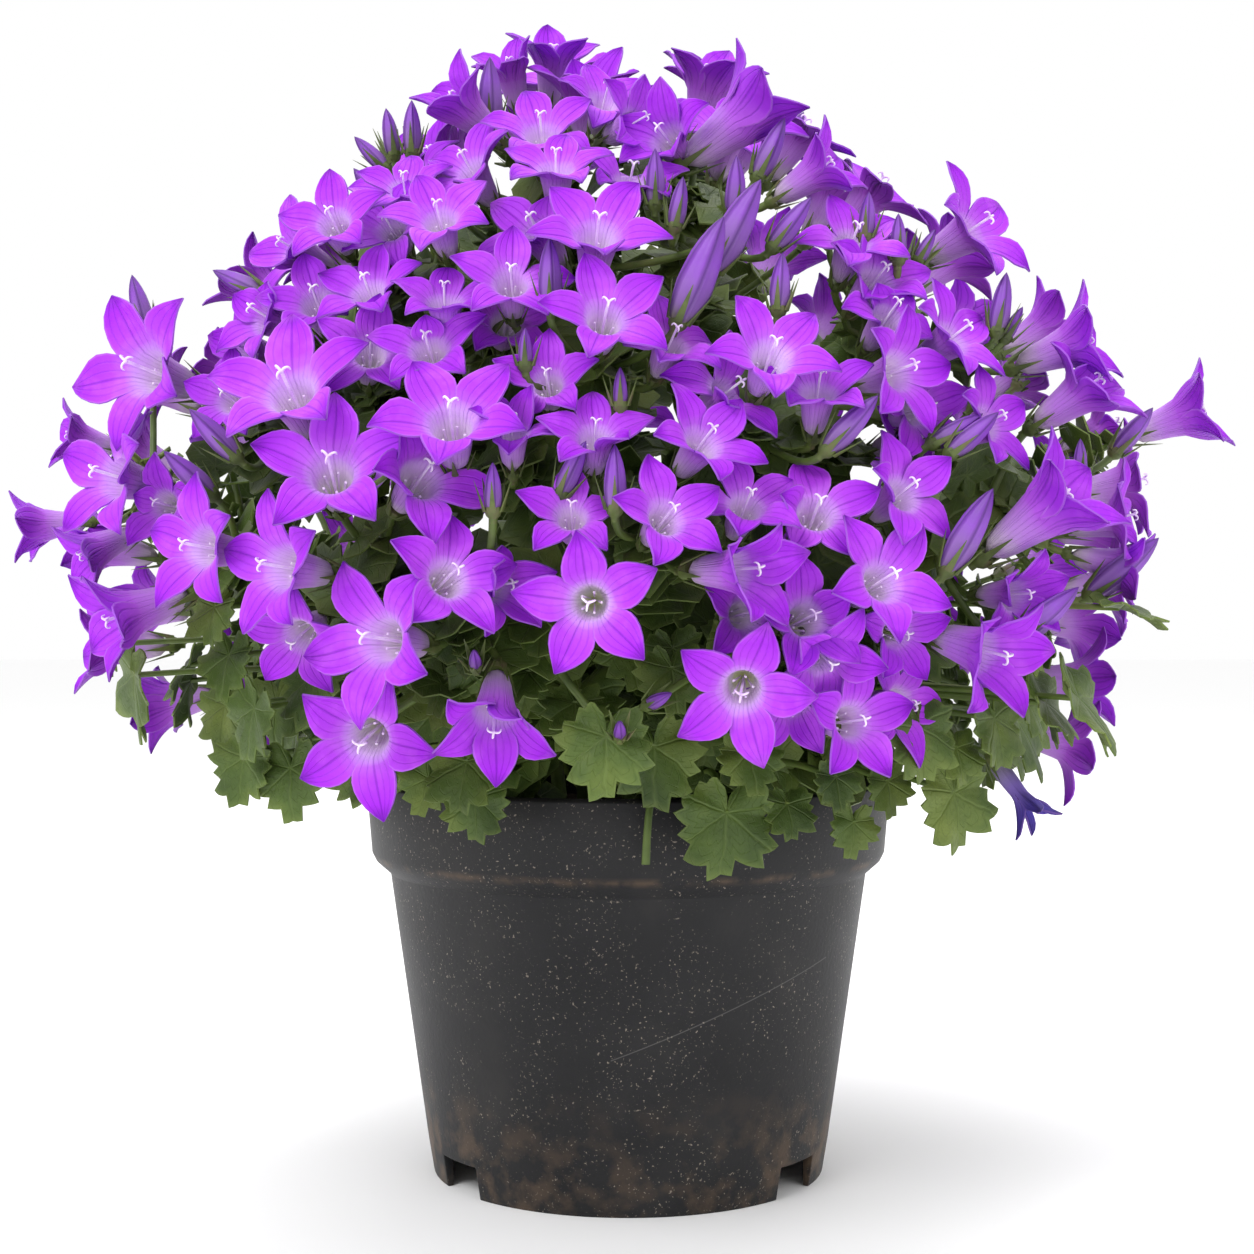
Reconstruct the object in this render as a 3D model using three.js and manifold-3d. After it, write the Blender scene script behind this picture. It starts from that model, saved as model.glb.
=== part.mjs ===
import * as THREE from "three";
import { mergeVertices } from "three/addons/utils/BufferGeometryUtils.js";
import Module from "manifold-3d";

const wasm = await Module();
wasm.setup();

// Sizes, in millimetres. The pot is a 13 cm nursery pot and the rest is measured against it.
const pot = {
  foot: 49,
  seamHeight: 8.3,
  seam: 50.4,
  shoulderHeight: 74.8,
  shoulder: 59.9,
  collarHeight: 80,
  collar: 64.5,
  rim: 65.4,
  height: 97.7,
  wall: 1.5,
  sides: 24,
};
const notch = { angles: [-54.5, 54.5, 125.5, -125.5], width: 14.6, height: 7.8, slope: 1.2 };
const drain = { ring: 38, radius: 4 };
const soil = { top: 88, gap: 0.3, hole: 2.4, holeDepth: 16 };
const bloom = {
  throat: 5.6,
  rim: 0.55,
  wall: 1,
  tube: 12.5,
  petal: 13.5,
  width: 9.6,
  thickness: 0.7,
  cup: 0.9,
};
const bud = { waist: 0.18, neck: 1.2 };
const fork = { radius: 3.4, depths: [12, 16, 9, 20, 24, 28, 34, 6], spins: [0, 40, 80, 20, 60] };
const spraySize = { seen: 4, far: 7, reach: 62, facing: 0.1 };
const stalkEnd = 0.9;
const trunkRadius = 1.7;
const shootRadius = 1.3;
const shootStart = { spacing: 5, apart: 4, tries: 24, shortest: 12, uphill: 25 };
const rootDepth = 0.6;
const leaf = { thickness: 0.7, stalk: 1.1, droop: 0.22, wave: 0.05 };
const gap = 0.35;

// How far the two halves of a petal lean out from the tube, in degrees. A star is open flat, a
// bell is seen from the side and half open, and the withered bloom hangs almost shut.
const flares = { star: [62, 82], bell: [30, 56], withered: [8, 24] };

// A petal that would touch another is bent by one of these angles, or is this much shorter.
const bends = [0, 12, -12, 24, -24, 36, 48];
const stretches = [1, 0.8, 0.62];

// The crown of flowers is a squashed ball about a point in its middle. Flowers are placed where
// they are seen from eye height in front: x and y are read in a view whose lens is the given
// number of units long.
const crown = { x: 140, y: 125, middle: 150, up: 124, down: 80, heart: 125 };
const view = { distance: 520, height: 136, lens: 2048, x: 628.3, y: 627 };

// Flowers in view: x, y of the throat, turn to the right, lift, roll, size, form, set back.
const seenBlooms = [
  [150, 372, -35, 10, -28, 1.12, "star", 0],
  [118, 478, -45, 10, 0, 1.0, "star", 0],
  [48, 525, -80, -5, 10, 0.8, "bell", 0],
  [135, 612, -60, -20, 30, 1.0, "bell", 0],
  [205, 548, -40, 5, -4, 0.9, "star", 0],
  [285, 568, -45, 5, -5, 0.95, "star", 0],
  [292, 395, -15, 35, -10, 1.08, "star", 0],
  [332, 475, 0, 28, 0, 1.0, "star", 0],
  [452, 425, 0, 38, -30, 0.98, "star", 0],
  [420, 480, 30, 25, -30, 0.95, "star", 6],
  [447, 580, 30, 20, 10, 0.85, "star", 0],
  [385, 640, -35, 5, -30, 1.02, "star", 0],
  [368, 738, -10, -15, 25, 0.98, "star", 0],
  [495, 712, 0, -45, 36, 0.9, "bell", 0],
  [590, 603, -3, -4, -9, 0.88, "star", 0],
  [742, 690, -5, -12, 20, 0.9, "star", 0],
  [850, 722, 30, 5, 5, 0.8, "star", 0],
  [880, 583, 30, 18, -30, 0.86, "star", 0],
  [665, 520, 25, 25, -8, 0.76, "star", 0],
  [572, 518, 0, 35, 0, 0.68, "star", 4],
  [605, 320, 10, 30, -15, 0.84, "star", 0],
  [597, 240, 8, 40, -35, 0.92, "star", 0],
  [770, 360, 15, 35, -25, 0.84, "star", 0],
  [702, 445, 35, 35, -20, 0.78, "star", 4],
  [745, 508, 20, 40, -10, 0.72, "star", 6],
  [595, 440, 5, 45, 0, 0.72, "star", 4],
  [512, 435, 0, 58, 36, 0.66, "bell", 6],
  [548, 385, -5, 30, 0, 0.68, "star", 8],
  [335, 225, -15, 30, -10, 0.74, "star", 0],
  [440, 222, -10, 40, -30, 0.76, "star", 0],
  [556, 172, 0, 55, 10, 0.74, "star", 0],
  [542, 135, -5, 45, -20, 0.8, "star", 4],
  [552, 68, 15, 65, 0, 0.8, "bell", 0],
  [604, 103, 20, 45, -10, 0.7, "star", 4],
  [632, 125, 50, 15, 20, 0.7, "star", 6],
  [735, 125, 78, 35, -10, 1.1, "bell", 0],
  [812, 175, 72, 30, 0, 0.76, "bell", 0],
  [968, 233, 55, 25, -10, 0.92, "star", 0],
  [1065, 348, 75, 20, 0, 0.9, "bell", 0],
  [1078, 395, 60, 32, 20, 0.92, "bell", 0],
  [1178, 418, 72, 20, 10, 1.0, "bell", 0],
  [1040, 515, 62, 35, 0, 1.12, "bell", 0],
  [1112, 520, 70, 10, 10, 0.78, "star", 4],
  [1112, 565, 80, -15, 20, 0.72, "bell", 6],
  [980, 650, 50, -15, 10, 1.0, "bell", 0],
  [1012, 595, 40, 0, 0, 0.76, "bell", 8],
  [822, 655, 20, -25, 20, 0.8, "star", 4],
  [805, 620, 20, 10, -10, 0.8, "star", 6],
  [735, 570, 50, 0, 0, 0.9, "bell", 0],
  [742, 615, 25, 5, 10, 0.68, "star", 14],
  [815, 515, 10, 30, 0, 0.84, "star", 6],
  [900, 495, 35, 25, -10, 0.8, "star", 6],
  [818, 395, 5, 52, 0, 0.76, "star", 4],
  [895, 372, 45, 10, 10, 0.82, "star", 2],
  [915, 410, 40, 5, 0, 0.76, "star", 12],
  [950, 340, 55, 30, 0, 0.82, "star", 4],
  [852, 245, 20, 45, -10, 0.76, "star", 4],
  [875, 282, 30, 30, 10, 0.78, "star", 8],
  [888, 318, 30, 35, -20, 0.76, "star", 4],
  [985, 425, 50, 20, 0, 0.76, "star", 8],
  [905, 440, 40, 10, 10, 0.74, "star", 14],
  [670, 345, 25, 40, 0, 0.72, "star", 8],
  [725, 395, 45, 25, 10, 0.8, "star", 10],
  [512, 285, 0, 35, 0, 0.76, "star", 4],
  [540, 235, -30, 35, 10, 0.84, "star", 8],
  [445, 305, 0, 58, 0, 0.72, "star", 6],
  [430, 352, -10, 35, -10, 0.78, "star", 8],
  [370, 355, 10, 30, 10, 0.76, "star", 10],
  [370, 295, -20, 45, 0, 0.76, "star", 10],
  [318, 305, -10, 35, -20, 0.78, "star", 12],
  [298, 252, -50, 20, -20, 0.8, "star", 10],
  [268, 318, -45, 20, 10, 0.78, "star", 8],
  [250, 350, -40, 5, 0, 0.68, "star", 16],
  [392, 230, -20, 30, 10, 0.7, "star", 14],
  [405, 192, -5, 50, 0, 0.68, "star", 8],
  [472, 172, -35, 40, 0, 0.78, "star", 8],
  [468, 112, -60, 35, 0, 0.85, "bell", 0],
  [512, 78, -20, 58, 0, 0.7, "bell", 6],
  [668, 140, -30, 20, 0, 0.8, "bell", 8],
  [100, 548, -60, -25, 20, 0.76, "bell", 10],
  [495, 585, 50, 0, 0, 0.76, "bell", 10],
  [302, 635, -20, -25, 10, 0.76, "star", 12],
  [895, 632, 30, -10, 0, 0.7, "star", 10],
  [895, 705, 50, 0, 20, 0.8, "star", 10],
  [792, 700, 0, -30, 0, 0.74, "star", 12],
  [630, 185, 15, 50, 10, 0.76, "star", 12],
  [232, 400, -20, 15, 0, 0.68, "star", 14],
  [165, 505, -20, 5, 0, 0.68, "star", 14],
  [85, 440, -70, 15, 0, 0.68, "bell", 10],
  [505, 325, 10, 30, 0, 0.68, "star", 12],
];

// The withered bloom, which hangs down at the right: the same values.
const witheredBloom = [1018, 792, 70, -52, 0, 0.74, "withered", 0];

// Buds in view: x, y, turn, lift, length.
const seenBuds = [
  [140, 305, -80, 75, 16],
  [490, 95, 0, 85, 17],
  [412, 130, 0, 85, 13],
  [390, 135, -60, 80, 12],
  [372, 155, -80, 45, 11],
  [240, 283, -90, 25, 13],
  [770, 150, 80, 65, 15],
  [700, 272, 70, 65, 24],
  [735, 228, 70, 60, 22],
  [790, 225, 70, 50, 14],
  [867, 218, 60, 85, 11],
  [898, 240, 0, 85, 11],
  [1001, 305, 70, 80, 14],
  [780, 285, 60, 85, 13],
  [1132, 432, 80, 50, 14],
  [968, 532, 70, 60, 20],
  [1122, 568, 75, 40, 20],
  [1045, 615, 75, 40, 18],
  [493, 490, 0, 80, 11],
  [850, 425, 70, 45, 16],
  [615, 480, 0, 85, 14],
  [972, 435, 75, 40, 14],
  [215, 435, -70, 45, 15],
  [735, 190, 10, 80, 14],
  [620, 730, 0, 30, 8],
  [550, 275, 0, 80, 15],
];

// Leaves in view: x, y of the blade, distance from the pot's axis, turn, lift, roll, length.
const seenLeaves = [
  [133, 700, 128, -60, 0, 200, 17],
  [225, 672, 112, -35, 20, 180, 11],
  [222, 722, 108, -35, 15, 185, 11],
  [240, 776, 108, -30, 15, 185, 12],
  [290, 788, 102, -25, 15, 172, 12.5],
  [424, 792, 84, -12, 15, 195, 9],
  [475, 815, 82, -10, 10, 180, 10.5],
  [655, 770, 84, 5, 20, 180, 14.5],
  [725, 838, 82, 10, 10, 186, 15.5],
  [790, 818, 84, 20, 30, 180, 9],
  [853, 836, 84, 25, 10, 188, 8.5],
  [838, 790, 92, 25, 20, 180, 8],
  [890, 795, 90, 30, 15, 175, 8.5],
  [958, 815, 104, 30, 10, 172, 14],
  [960, 762, 108, 35, 25, 180, 9],
  [1095, 715, 134, 60, 35, 140, 16],
  [1058, 712, 124, 55, 35, 122, 13],
  [1138, 612, 140, 60, 35, 145, 12],
  [112, 655, 128, -60, 10, 200, 8],
  [575, 715, 92, 0, 50, 180, 10],
  [522, 682, 95, -5, 50, 200, 9],
  [440, 690, 96, -10, 35, 190, 10],
  [275, 718, 92, -25, 20, 175, 12],
  [676, 664, 94, 5, 20, 170, 10],
  [752, 768, 90, 12, 30, 175, 10],
  [1035, 716, 112, 50, 20, 150, 9],
  [210, 622, 116, -35, 20, 185, 10],
  [905, 652, 108, 30, 25, 170, 10],
  [480, 760, 86, -10, 30, 190, 9],
];

// The far side, which the view doesn't show, is filled by rule. It is about half the crown, and higher
// up it reaches round to the front over the top.
const farSide = { half: 98, wider: 215, perHeight: 2 };

// The far side's outline, peaked as the view shows it: height and distance from the pot's axis.
const farOutline = [
  [100, 104],
  [120, 120],
  [150, 129],
  [178, 130],
  [198, 118],
  [215, 98],
  [232, 76],
  [248, 55],
  [262, 36],
  [276, 14],
];
const farBlooms = { count: 88, seed: 7, top: 272, bottom: 106 };
const farBuds = { count: 7, seed: 5, top: 268, bottom: 140 };
const farLeaves = { count: 18, seed: 11 };

// Green stems: how many, their first angle, and the radius and height of their foot and top.
const outerStems = { count: 8, angle: 12, foot: 38, top: 60, height: 148 };
const innerStems = { count: 5, angle: 36, foot: 16, top: 32, height: 205 };
const lowestShoot = 112;
const leafHeights = [93, 97, 101, 105, 109, 113, 117, 121, 125, 129, 133];

// A leaf's toothed, heart-shaped edge: angle from the tip, and reach in leaf lengths.
const leafOutline = [
  [0, 1],
  [22, 0.76],
  [42, 0.92],
  [66, 0.66],
  [92, 0.8],
  [132, 0.6],
  [180, 0.12],
  [228, 0.6],
  [268, 0.8],
  [294, 0.66],
  [318, 0.92],
  [338, 0.76],
];

const colours = { petal: 0x9a45dd, faded: 0x6a58b8, leaf: 0x55732f, pot: 0x2d2d2e, soil: 0x2a1d14 };
const degrees = Math.PI / 180;
const fifths = [0, 1, 2, 3, 4];
const thirds = [0, 1, 2];
const heart = new THREE.Vector3(0, 0, crown.heart);

function randomFrom(seed) {
  let state = seed;
  return () => {
    state = (state + 0x6d2b79f5) | 0;
    let t = Math.imul(state ^ (state >>> 15), 1 | state);
    t = (t + Math.imul(t ^ (t >>> 7), 61 | t)) ^ t;
    return ((t ^ (t >>> 14)) >>> 0) / 4294967296;
  };
}

// Solids and meshes
function solidOf(geometry) {
  const bare = geometry.clone();
  bare.deleteAttribute("normal");
  bare.deleteAttribute("uv");
  const merged = mergeVertices(bare, 1e-4);
  return new wasm.Manifold(
    new wasm.Mesh({
      numProp: 3,
      vertProperties: new Float32Array(merged.attributes.position.array),
      triVerts: new Uint32Array(merged.index.array),
    })
  );
}

function solidFrom(points, faces) {
  const places = points.flatMap((p) => [p.x, p.y, p.z]);
  const geometry = new THREE.BufferGeometry();
  geometry.setAttribute("position", new THREE.Float32BufferAttribute(places, 3));
  geometry.setIndex(faces.flat());
  return solidOf(geometry);
}

function meshOf(name, solid, color, roughness) {
  const { vertProperties, triVerts } = solid.getMesh();
  const geometry = new THREE.BufferGeometry();
  geometry.setAttribute("position", new THREE.BufferAttribute(vertProperties, 3));
  geometry.setIndex(new THREE.BufferAttribute(triVerts, 1));
  const material = new THREE.MeshStandardMaterial({ color, roughness, metalness: 0 });
  const mesh = new THREE.Mesh(geometry, material);
  mesh.name = name;
  return mesh;
}

function joined(solids) {
  return solids.reduce((whole, next) => whole.add(next));
}

function largest(solid) {
  const pieces = solid.decompose();
  return pieces.reduce((best, next) => (next.volume() > best.volume() ? next : best));
}

// What has been set in place so far, thickened by the gap. A new piece keeps clear of all of it,
// except for what it grows from.
const placed = [];

function place(owner, solid) {
  placed.push({ owner, solid, box: solid.boundingBox() });
}

function boxesMeet(a, b) {
  return [0, 1, 2].every((i) => a.min[i] <= b.max[i] && b.min[i] <= a.max[i]);
}

function isClear(solid, apart = () => true) {
  const box = solid.boundingBox();
  const meets = (other) => boxesMeet(box, other.box) && !solid.intersect(other.solid).isEmpty();
  return !placed.some((other) => apart(other.owner) && meets(other));
}

// Vectors
function wayFrom(a, b) {
  return b.clone().sub(a).normalize();
}

function onward(point, way, distance) {
  return point.clone().addScaledVector(way, distance);
}

function aroundAxis(turn, radius, height) {
  const a = turn * degrees;
  return new THREE.Vector3(Math.sin(a) * radius, -Math.cos(a) * radius, height);
}

// A ring of points is kept as its offsets from its middle, which turn with the way it faces.
function ringAcross(way, count) {
  const flat = Math.abs(way.z) > 0.9 ? new THREE.Vector3(1, 0, 0) : new THREE.Vector3(0, 0, 1);
  const across = new THREE.Vector3().crossVectors(flat, way).normalize();
  const other = new THREE.Vector3().crossVectors(way, across);
  return Array.from({ length: count }, (_, k) => {
    const a = (360 * k * degrees) / count;
    return across.clone().multiplyScalar(Math.cos(a)).addScaledVector(other, Math.sin(a));
  });
}

function turnedRing(offsets, from, to) {
  const turn = new THREE.Quaternion().setFromUnitVectors(from, to);
  return offsets.map((offset) => offset.clone().applyQuaternion(turn));
}

function ringAt(middle, offsets, radius) {
  return offsets.map((offset) => onward(middle, offset, radius));
}

function bandFaces(one, two) {
  return one.flatMap((corner, k) => {
    const next = (k + 1) % one.length;
    return [
      [corner, one[next], two[next]],
      [corner, two[next], two[k]],
    ];
  });
}

function capFaces(ring) {
  return ring.slice(2).map((corner, k) => [ring[0], ring[k + 1], corner]);
}

function coneFaces(ring, tip) {
  return ring.map((corner, k) => [corner, ring[(k + 1) % ring.length], tip]);
}

// Numbers of the points in the given ring, where equal rings follow each other from the first.
function numbersOf(first, count, ring = 0) {
  return Array.from({ length: count }, (_, k) => first + ring * count + k);
}

// A place on the crown, from where it is seen, and the three directions of what stands there:
// out, up and to the right.
function seenPoint(x, y, depth) {
  const scale = depth / view.lens;
  return new THREE.Vector3(
    (x - view.x) * scale,
    depth - view.distance,
    view.height - (y - view.y) * scale
  );
}

function crownPoint(x, y, back) {
  let depth = view.distance - crown.y;
  for (let i = 0; i < 30; i++) {
    const p = seenPoint(x, y, depth);
    const reach = p.z > crown.middle ? crown.up : crown.down;
    const q = (p.x / crown.x) ** 2 + ((p.z - crown.middle) / reach) ** 2;
    depth = (depth + view.distance - crown.y * Math.sqrt(Math.max(0, 1 - q))) / 2;
  }
  return seenPoint(x, y, depth + back);
}

function directions(turn, lift) {
  const a = turn * degrees;
  const e = lift * degrees;
  return {
    out: new THREE.Vector3(Math.sin(a) * Math.cos(e), -Math.cos(a) * Math.cos(e), Math.sin(e)),
    up: new THREE.Vector3(-Math.sin(a) * Math.sin(e), Math.cos(a) * Math.sin(e), Math.cos(e)),
    right: new THREE.Vector3(Math.cos(a), Math.sin(a), 0),
  };
}

function farReach(height) {
  const next = Math.max(1, farOutline.findIndex(([above]) => above > height));
  const [[low, one], [high, two]] = [farOutline[next - 1], farOutline[next]];
  return one + ((two - one) * (height - low)) / (high - low);
}

// Points spread evenly over the far side of the crown, from its top down. The turn goes on by the
// golden section, so that neighbours in height stand far apart.
function farPoints({ count, seed, top, bottom }) {
  const random = randomFrom(seed);
  return Array.from({ length: count }, (_, i) => {
    const height = top + ((bottom - top) * (i + 0.5)) / count;
    const half = farSide.half + farSide.perHeight * Math.max(0, height - farSide.wider);
    const turn = 180 + (2 * ((i * 0.618034 + 0.25) % 1) - 1) * Math.min(180, half);
    const point = aroundAxis(turn, farReach(height) * (0.93 + 0.1 * random()), height);
    return { point, turn, random };
  });
}

// A flower is placed by its throat.
function seenFlower(row, form = row[6]) {
  const [x, y, turn, lift, roll, size, , back] = row;
  const necked = form !== "star" && back === 0;
  const plain = size < 0.79 || back > 7;
  const shape = { ...directions(turn, lift), roll, size, form, necked, plain };
  return { ...shape, throatAt: (step) => crownPoint(x, y, back + step) };
}

function farFlower({ point, turn, random }) {
  const lift = ((point.z - 140) / 120) * 60 + 10 * (random() - 0.5);
  return {
    ...directions(turn + 30 * (random() - 0.5), lift),
    roll: 72 * random(),
    size: 0.82 + 0.2 * random(),
    form: random() < 0.75 ? "star" : "bell",
    necked: false,
    plain: true,
    throatAt: (step) => onward(point, wayFrom(point, heart), step),
  };
}

function baseOf(flower) {
  return onward(flower.throat, flower.out, -bloom.tube * flower.size);
}

// A point of a flower. The angle runs clockwise from up, as seen from the front.
function flowerPoint(flower, from, angle, radius, height) {
  const a = angle * degrees;
  return from
    .clone()
    .addScaledVector(flower.up, Math.cos(a) * radius)
    .addScaledVector(flower.right, Math.sin(a) * radius)
    .addScaledVector(flower.out, height);
}

// The two points where petal k leaves the throat on its left, at the back and at the front.
function rootPoints(flower, k, grow) {
  const angle = flower.roll + 72 * k - 36;
  const radius = bloom.throat * flower.size;
  return [
    flowerPoint(flower, flower.throat, angle, radius + grow, -grow),
    flowerPoint(flower, flower.throat, angle, radius - bloom.wall - grow, bloom.rim + grow),
  ];
}

// A petal's outer points, each at the back and at the front: its two edges and its tip.
function petalPoints(flower, k, [bend, stretch], grow) {
  const angle = flower.roll + 72 * k;
  const flare = flares[flower.form].map((lean) => (lean + bend) * degrees);
  const half = (bloom.petal * flower.size * stretch) / 2;
  const radius = bloom.throat * flower.size * Math.cos(36 * degrees);
  const edge = [radius + half * Math.sin(flare[0]), half * Math.cos(flare[0])];
  const rest = half + grow;
  const tip = [edge[0] + rest * Math.sin(flare[1]), edge[1] + rest * Math.cos(flare[1])];
  const pair = ([r, height], lean, aside, lift) =>
    [lift - grow, lift + bloom.thickness + grow].map((up) =>
      flowerPoint(
        flower,
        flowerPoint(flower, flower.throat, angle, r - up * Math.cos(lean), height + up * Math.sin(lean)),
        angle + 90,
        aside,
        0
      )
    );
  const wide = (bloom.width * flower.size) / 2 + grow;
  const between = (flare[0] + flare[1]) / 2;
  const cup = bloom.cup * flower.size;
  return [
    ...pair(edge, between, -wide, cup),
    ...pair(edge, between, wide, cup),
    ...pair(tip, flare[1], 0, 0),
  ];
}

// Each corner is the number of its back point, and the front point follows it.
function petalFaces(left, right, leftEdge) {
  const rightEdge = leftEdge + 2;
  const tip = leftEdge + 4;
  const faces = [
    [left + 1, right + 1, rightEdge + 1],
    [left + 1, rightEdge + 1, leftEdge + 1],
    [leftEdge + 1, rightEdge + 1, tip + 1],
    [left, rightEdge, right],
    [left, leftEdge, rightEdge],
    [leftEdge, tip, rightEdge],
  ];
  const round = [right, rightEdge, tip, leftEdge, left];
  for (let i = 0; i < 4; i++) faces.push(...sideFaces(round[i], round[i + 1]));
  return faces;
}

// A petal of a small or hidden flower is a plain wedge from its root to its tip.
function plainPetalFaces(left, right, tip) {
  const faces = [
    [left + 1, right + 1, tip + 1],
    [left, tip, right],
  ];
  return [...faces, ...sideFaces(right, tip), ...sideFaces(tip, left)];
}

function sideFaces(a, b) {
  return [
    [a + 1, a, b],
    [a + 1, b, b + 1],
  ];
}

// One petal by itself, closed at its root, to test its place.
function petalSolid(flower, k, shape, grow) {
  const roots = [...rootPoints(flower, k, grow), ...rootPoints(flower, k + 1, grow)];
  const points = [...roots, ...petalPoints(flower, k, shape, grow)];
  return solidFrom(points, [...petalFaces(0, 2, 4), [3, 1, 0], [3, 0, 2]]);
}

// The outer half of a petal, which keeps clear of its own tube and of its neighbours too.
function bladeSolid(flower, k, shape) {
  const faces = [
    [1, 3, 5],
    [0, 4, 2],
    ...sideFaces(2, 4),
    ...sideFaces(4, 0),
    ...sideFaces(0, 2),
  ];
  return solidFrom(petalPoints(flower, k, shape, 0), faces);
}

function inwardOf(flower) {
  return flower.necked ? flower.out.clone().negate() : wayFrom(flower.throat, flower.fork);
}

// The tube runs on as a stalk to its fork. Where it is seen from the side it is drawn in first.
function tubePoints(flower, grow) {
  if (!flower.necked) {
    const way = wayFrom(flower.throat, flower.fork);
    return [onward(flower.fork, way, 1 + 3 * grow)];
  }
  const base = baseOf(flower);
  const way = wayFrom(base, flower.fork);
  const origin = new THREE.Vector3();
  const across = fifths.map((k) => flowerPoint(flower, origin, flower.roll + 72 * k - 36, 1, 0));
  const ends = turnedRing(across, flower.out.clone().negate(), way);
  return [
    ...ringAt(base, across, 1.8 * flower.size + grow),
    ...ringAt(onward(flower.fork, way, 0.4 + grow), ends, stalkEnd + grow),
  ];
}

function tubeFaces(mouth, first, necked) {
  if (!necked) return coneFaces(mouth, first);
  const neck = numbersOf(first, 5);
  const end = numbersOf(first, 5, 1);
  return [...bandFaces(mouth, neck), ...bandFaces(neck, end), ...capFaces(end)];
}

function tubeSolid(flower, grow) {
  const inward = inwardOf(flower);
  const slant = Math.max(0.4, -inward.dot(flower.out));
  const middle = onward(flower.throat, inward, grow > 0 ? -(bloom.rim + grow) / slant : 0);
  const radius = bloom.throat * flower.size + grow / slant;
  const mouth = fifths.map((k) =>
    flowerPoint(flower, middle, flower.roll + 72 * k - 36, radius, 0)
  );
  const faces = [...capFaces([...fifths].reverse()), ...tubeFaces(fifths, 5, flower.necked)];
  return solidFrom([...mouth, ...tubePoints(flower, grow)], faces);
}

// The tube without its stalk
function shortTube(flower, grow) {
  return tubeSolid({ ...flower, necked: false, fork: baseOf(flower) }, grow);
}

// A whole flower, from the deep end of its throat round its petals and down its stalk.
function flowerSolid(flower) {
  const points = [onward(flower.throat, inwardOf(flower), (bloom.tube - 4) * flower.size)];
  for (const k of fifths) points.push(...rootPoints(flower, k, 0));
  const faces = [];
  for (const k of fifths) {
    const left = 1 + 2 * k;
    const right = 1 + 2 * ((k + 1) % 5);
    faces.push([right + 1, left + 1, 0]);
    if (!flower.petals[k]) {
      faces.push([right + 1, right, left], [right + 1, left, left + 1]);
      continue;
    }
    const outer = petalPoints(flower, k, flower.petals[k], 0);
    if (flower.plain) outer.splice(0, 4);
    const facesOf = flower.plain ? plainPetalFaces : petalFaces;
    faces.push(...facesOf(left, right, points.length));
    points.push(...outer);
  }
  const mouth = fifths.map((k) => 1 + 2 * k);
  faces.push(...tubeFaces(mouth, points.length, flower.necked));
  points.push(...tubePoints(flower, 0));
  return solidFrom(points, faces);
}

// A flower whose tube would run into another is set further back.
function settleFlowers(flowers) {
  for (const flower of flowers) {
    for (let step = 0; step < 27; step += 3) {
      flower.throat = flower.throatAt(step);
      if (isClear(shortTube(flower, 0))) break;
    }
    place(flower, shortTube(flower, gap));
  }
}

// Neighbouring flowers that face alike stand on one forked stalk, as a spray.
function spraysOf(flowers, most) {
  const left = [...flowers];
  const sprays = [];
  while (left.length) {
    const first = left.shift();
    const distance = (flower) => baseOf(flower).distanceTo(baseOf(first));
    const near = left
      .filter((flower) => flower.out.dot(first.out) > spraySize.facing && distance(flower) < spraySize.reach)
      .sort((one, two) => distance(one) - distance(two))
      .slice(0, most - 1);
    const spray = { flowers: [first, ...near], buds: [], spin: 0 };
    for (const flower of near) left.splice(left.indexOf(flower), 1);
    for (const flower of spray.flowers) flower.spray = spray;
    sprays.push(spray);
  }
  return sprays;
}

function forkAt(spray, depth) {
  const middle = new THREE.Vector3();
  for (const flower of spray.flowers) middle.add(baseOf(flower));
  middle.divideScalar(spray.flowers.length);
  return onward(middle, wayFrom(middle, heart), depth);
}

// The fork is a small four-sided knot with one corner, its seat, on the side of the stem.
function forkSolid(spray, grow) {
  const geometry = new THREE.TetrahedronGeometry(fork.radius + 3 * grow);
  const corner = new THREE.Vector3(1, 1, 1).normalize();
  const spin = new THREE.Quaternion().setFromAxisAngle(corner, spray.spin * degrees);
  const turn = new THREE.Quaternion().setFromUnitVectors(corner, wayFrom(spray.fork, heart));
  geometry.applyQuaternion(turn.multiply(spin));
  geometry.translate(...spray.fork.toArray());
  return solidOf(geometry);
}

function seatOf(spray) {
  return onward(spray.fork, wayFrom(spray.fork, heart), fork.radius);
}

function setFork(spray, point) {
  spray.fork = point;
  for (const flower of spray.flowers) flower.fork = point;
}

// A spray takes the fork at which most of its stalks run clear.
function settleForks(sprays) {
  for (const spray of sprays) {
    const apart = (owner) => !spray.flowers.includes(owner);
    const score = (depth) => {
      setFork(spray, forkAt(spray, depth));
      const free = spray.flowers.filter((flower) => isClear(tubeSolid(flower, 0), apart));
      return free.length + (isClear(forkSolid(spray, 0), apart) ? 1 : 0);
    };
    const scores = fork.depths.map(score);
    const best = Math.max(...scores);
    setFork(spray, forkAt(spray, fork.depths[scores.indexOf(best)]));
    place(spray, forkSolid(spray, gap));
    for (const flower of spray.flowers) place(flower, tubeSolid(flower, gap));
  }
}

// A petal that would run into another bends up or back, or stays shorter. Within one spray,
// where no shape is free, it may touch.
function petalShape(flower, k, own) {
  const tries = stretches.flatMap((stretch) => bends.map((bend) => [bend, stretch]));
  const isFree = (shape, apart) =>
    isClear(petalSolid(flower, k, shape, 0), apart) &&
    own.every((other) => other.intersect(bladeSolid(flower, k, shape)).isEmpty());
  const others = (owner) => owner !== flower;
  const otherSprays = (owner) => owner.spray !== flower.spray && owner !== flower.spray;
  return (
    tries.find((shape) => isFree(shape, others)) ??
    tries.find((shape) => isFree(shape, otherSprays))
  );
}

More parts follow.
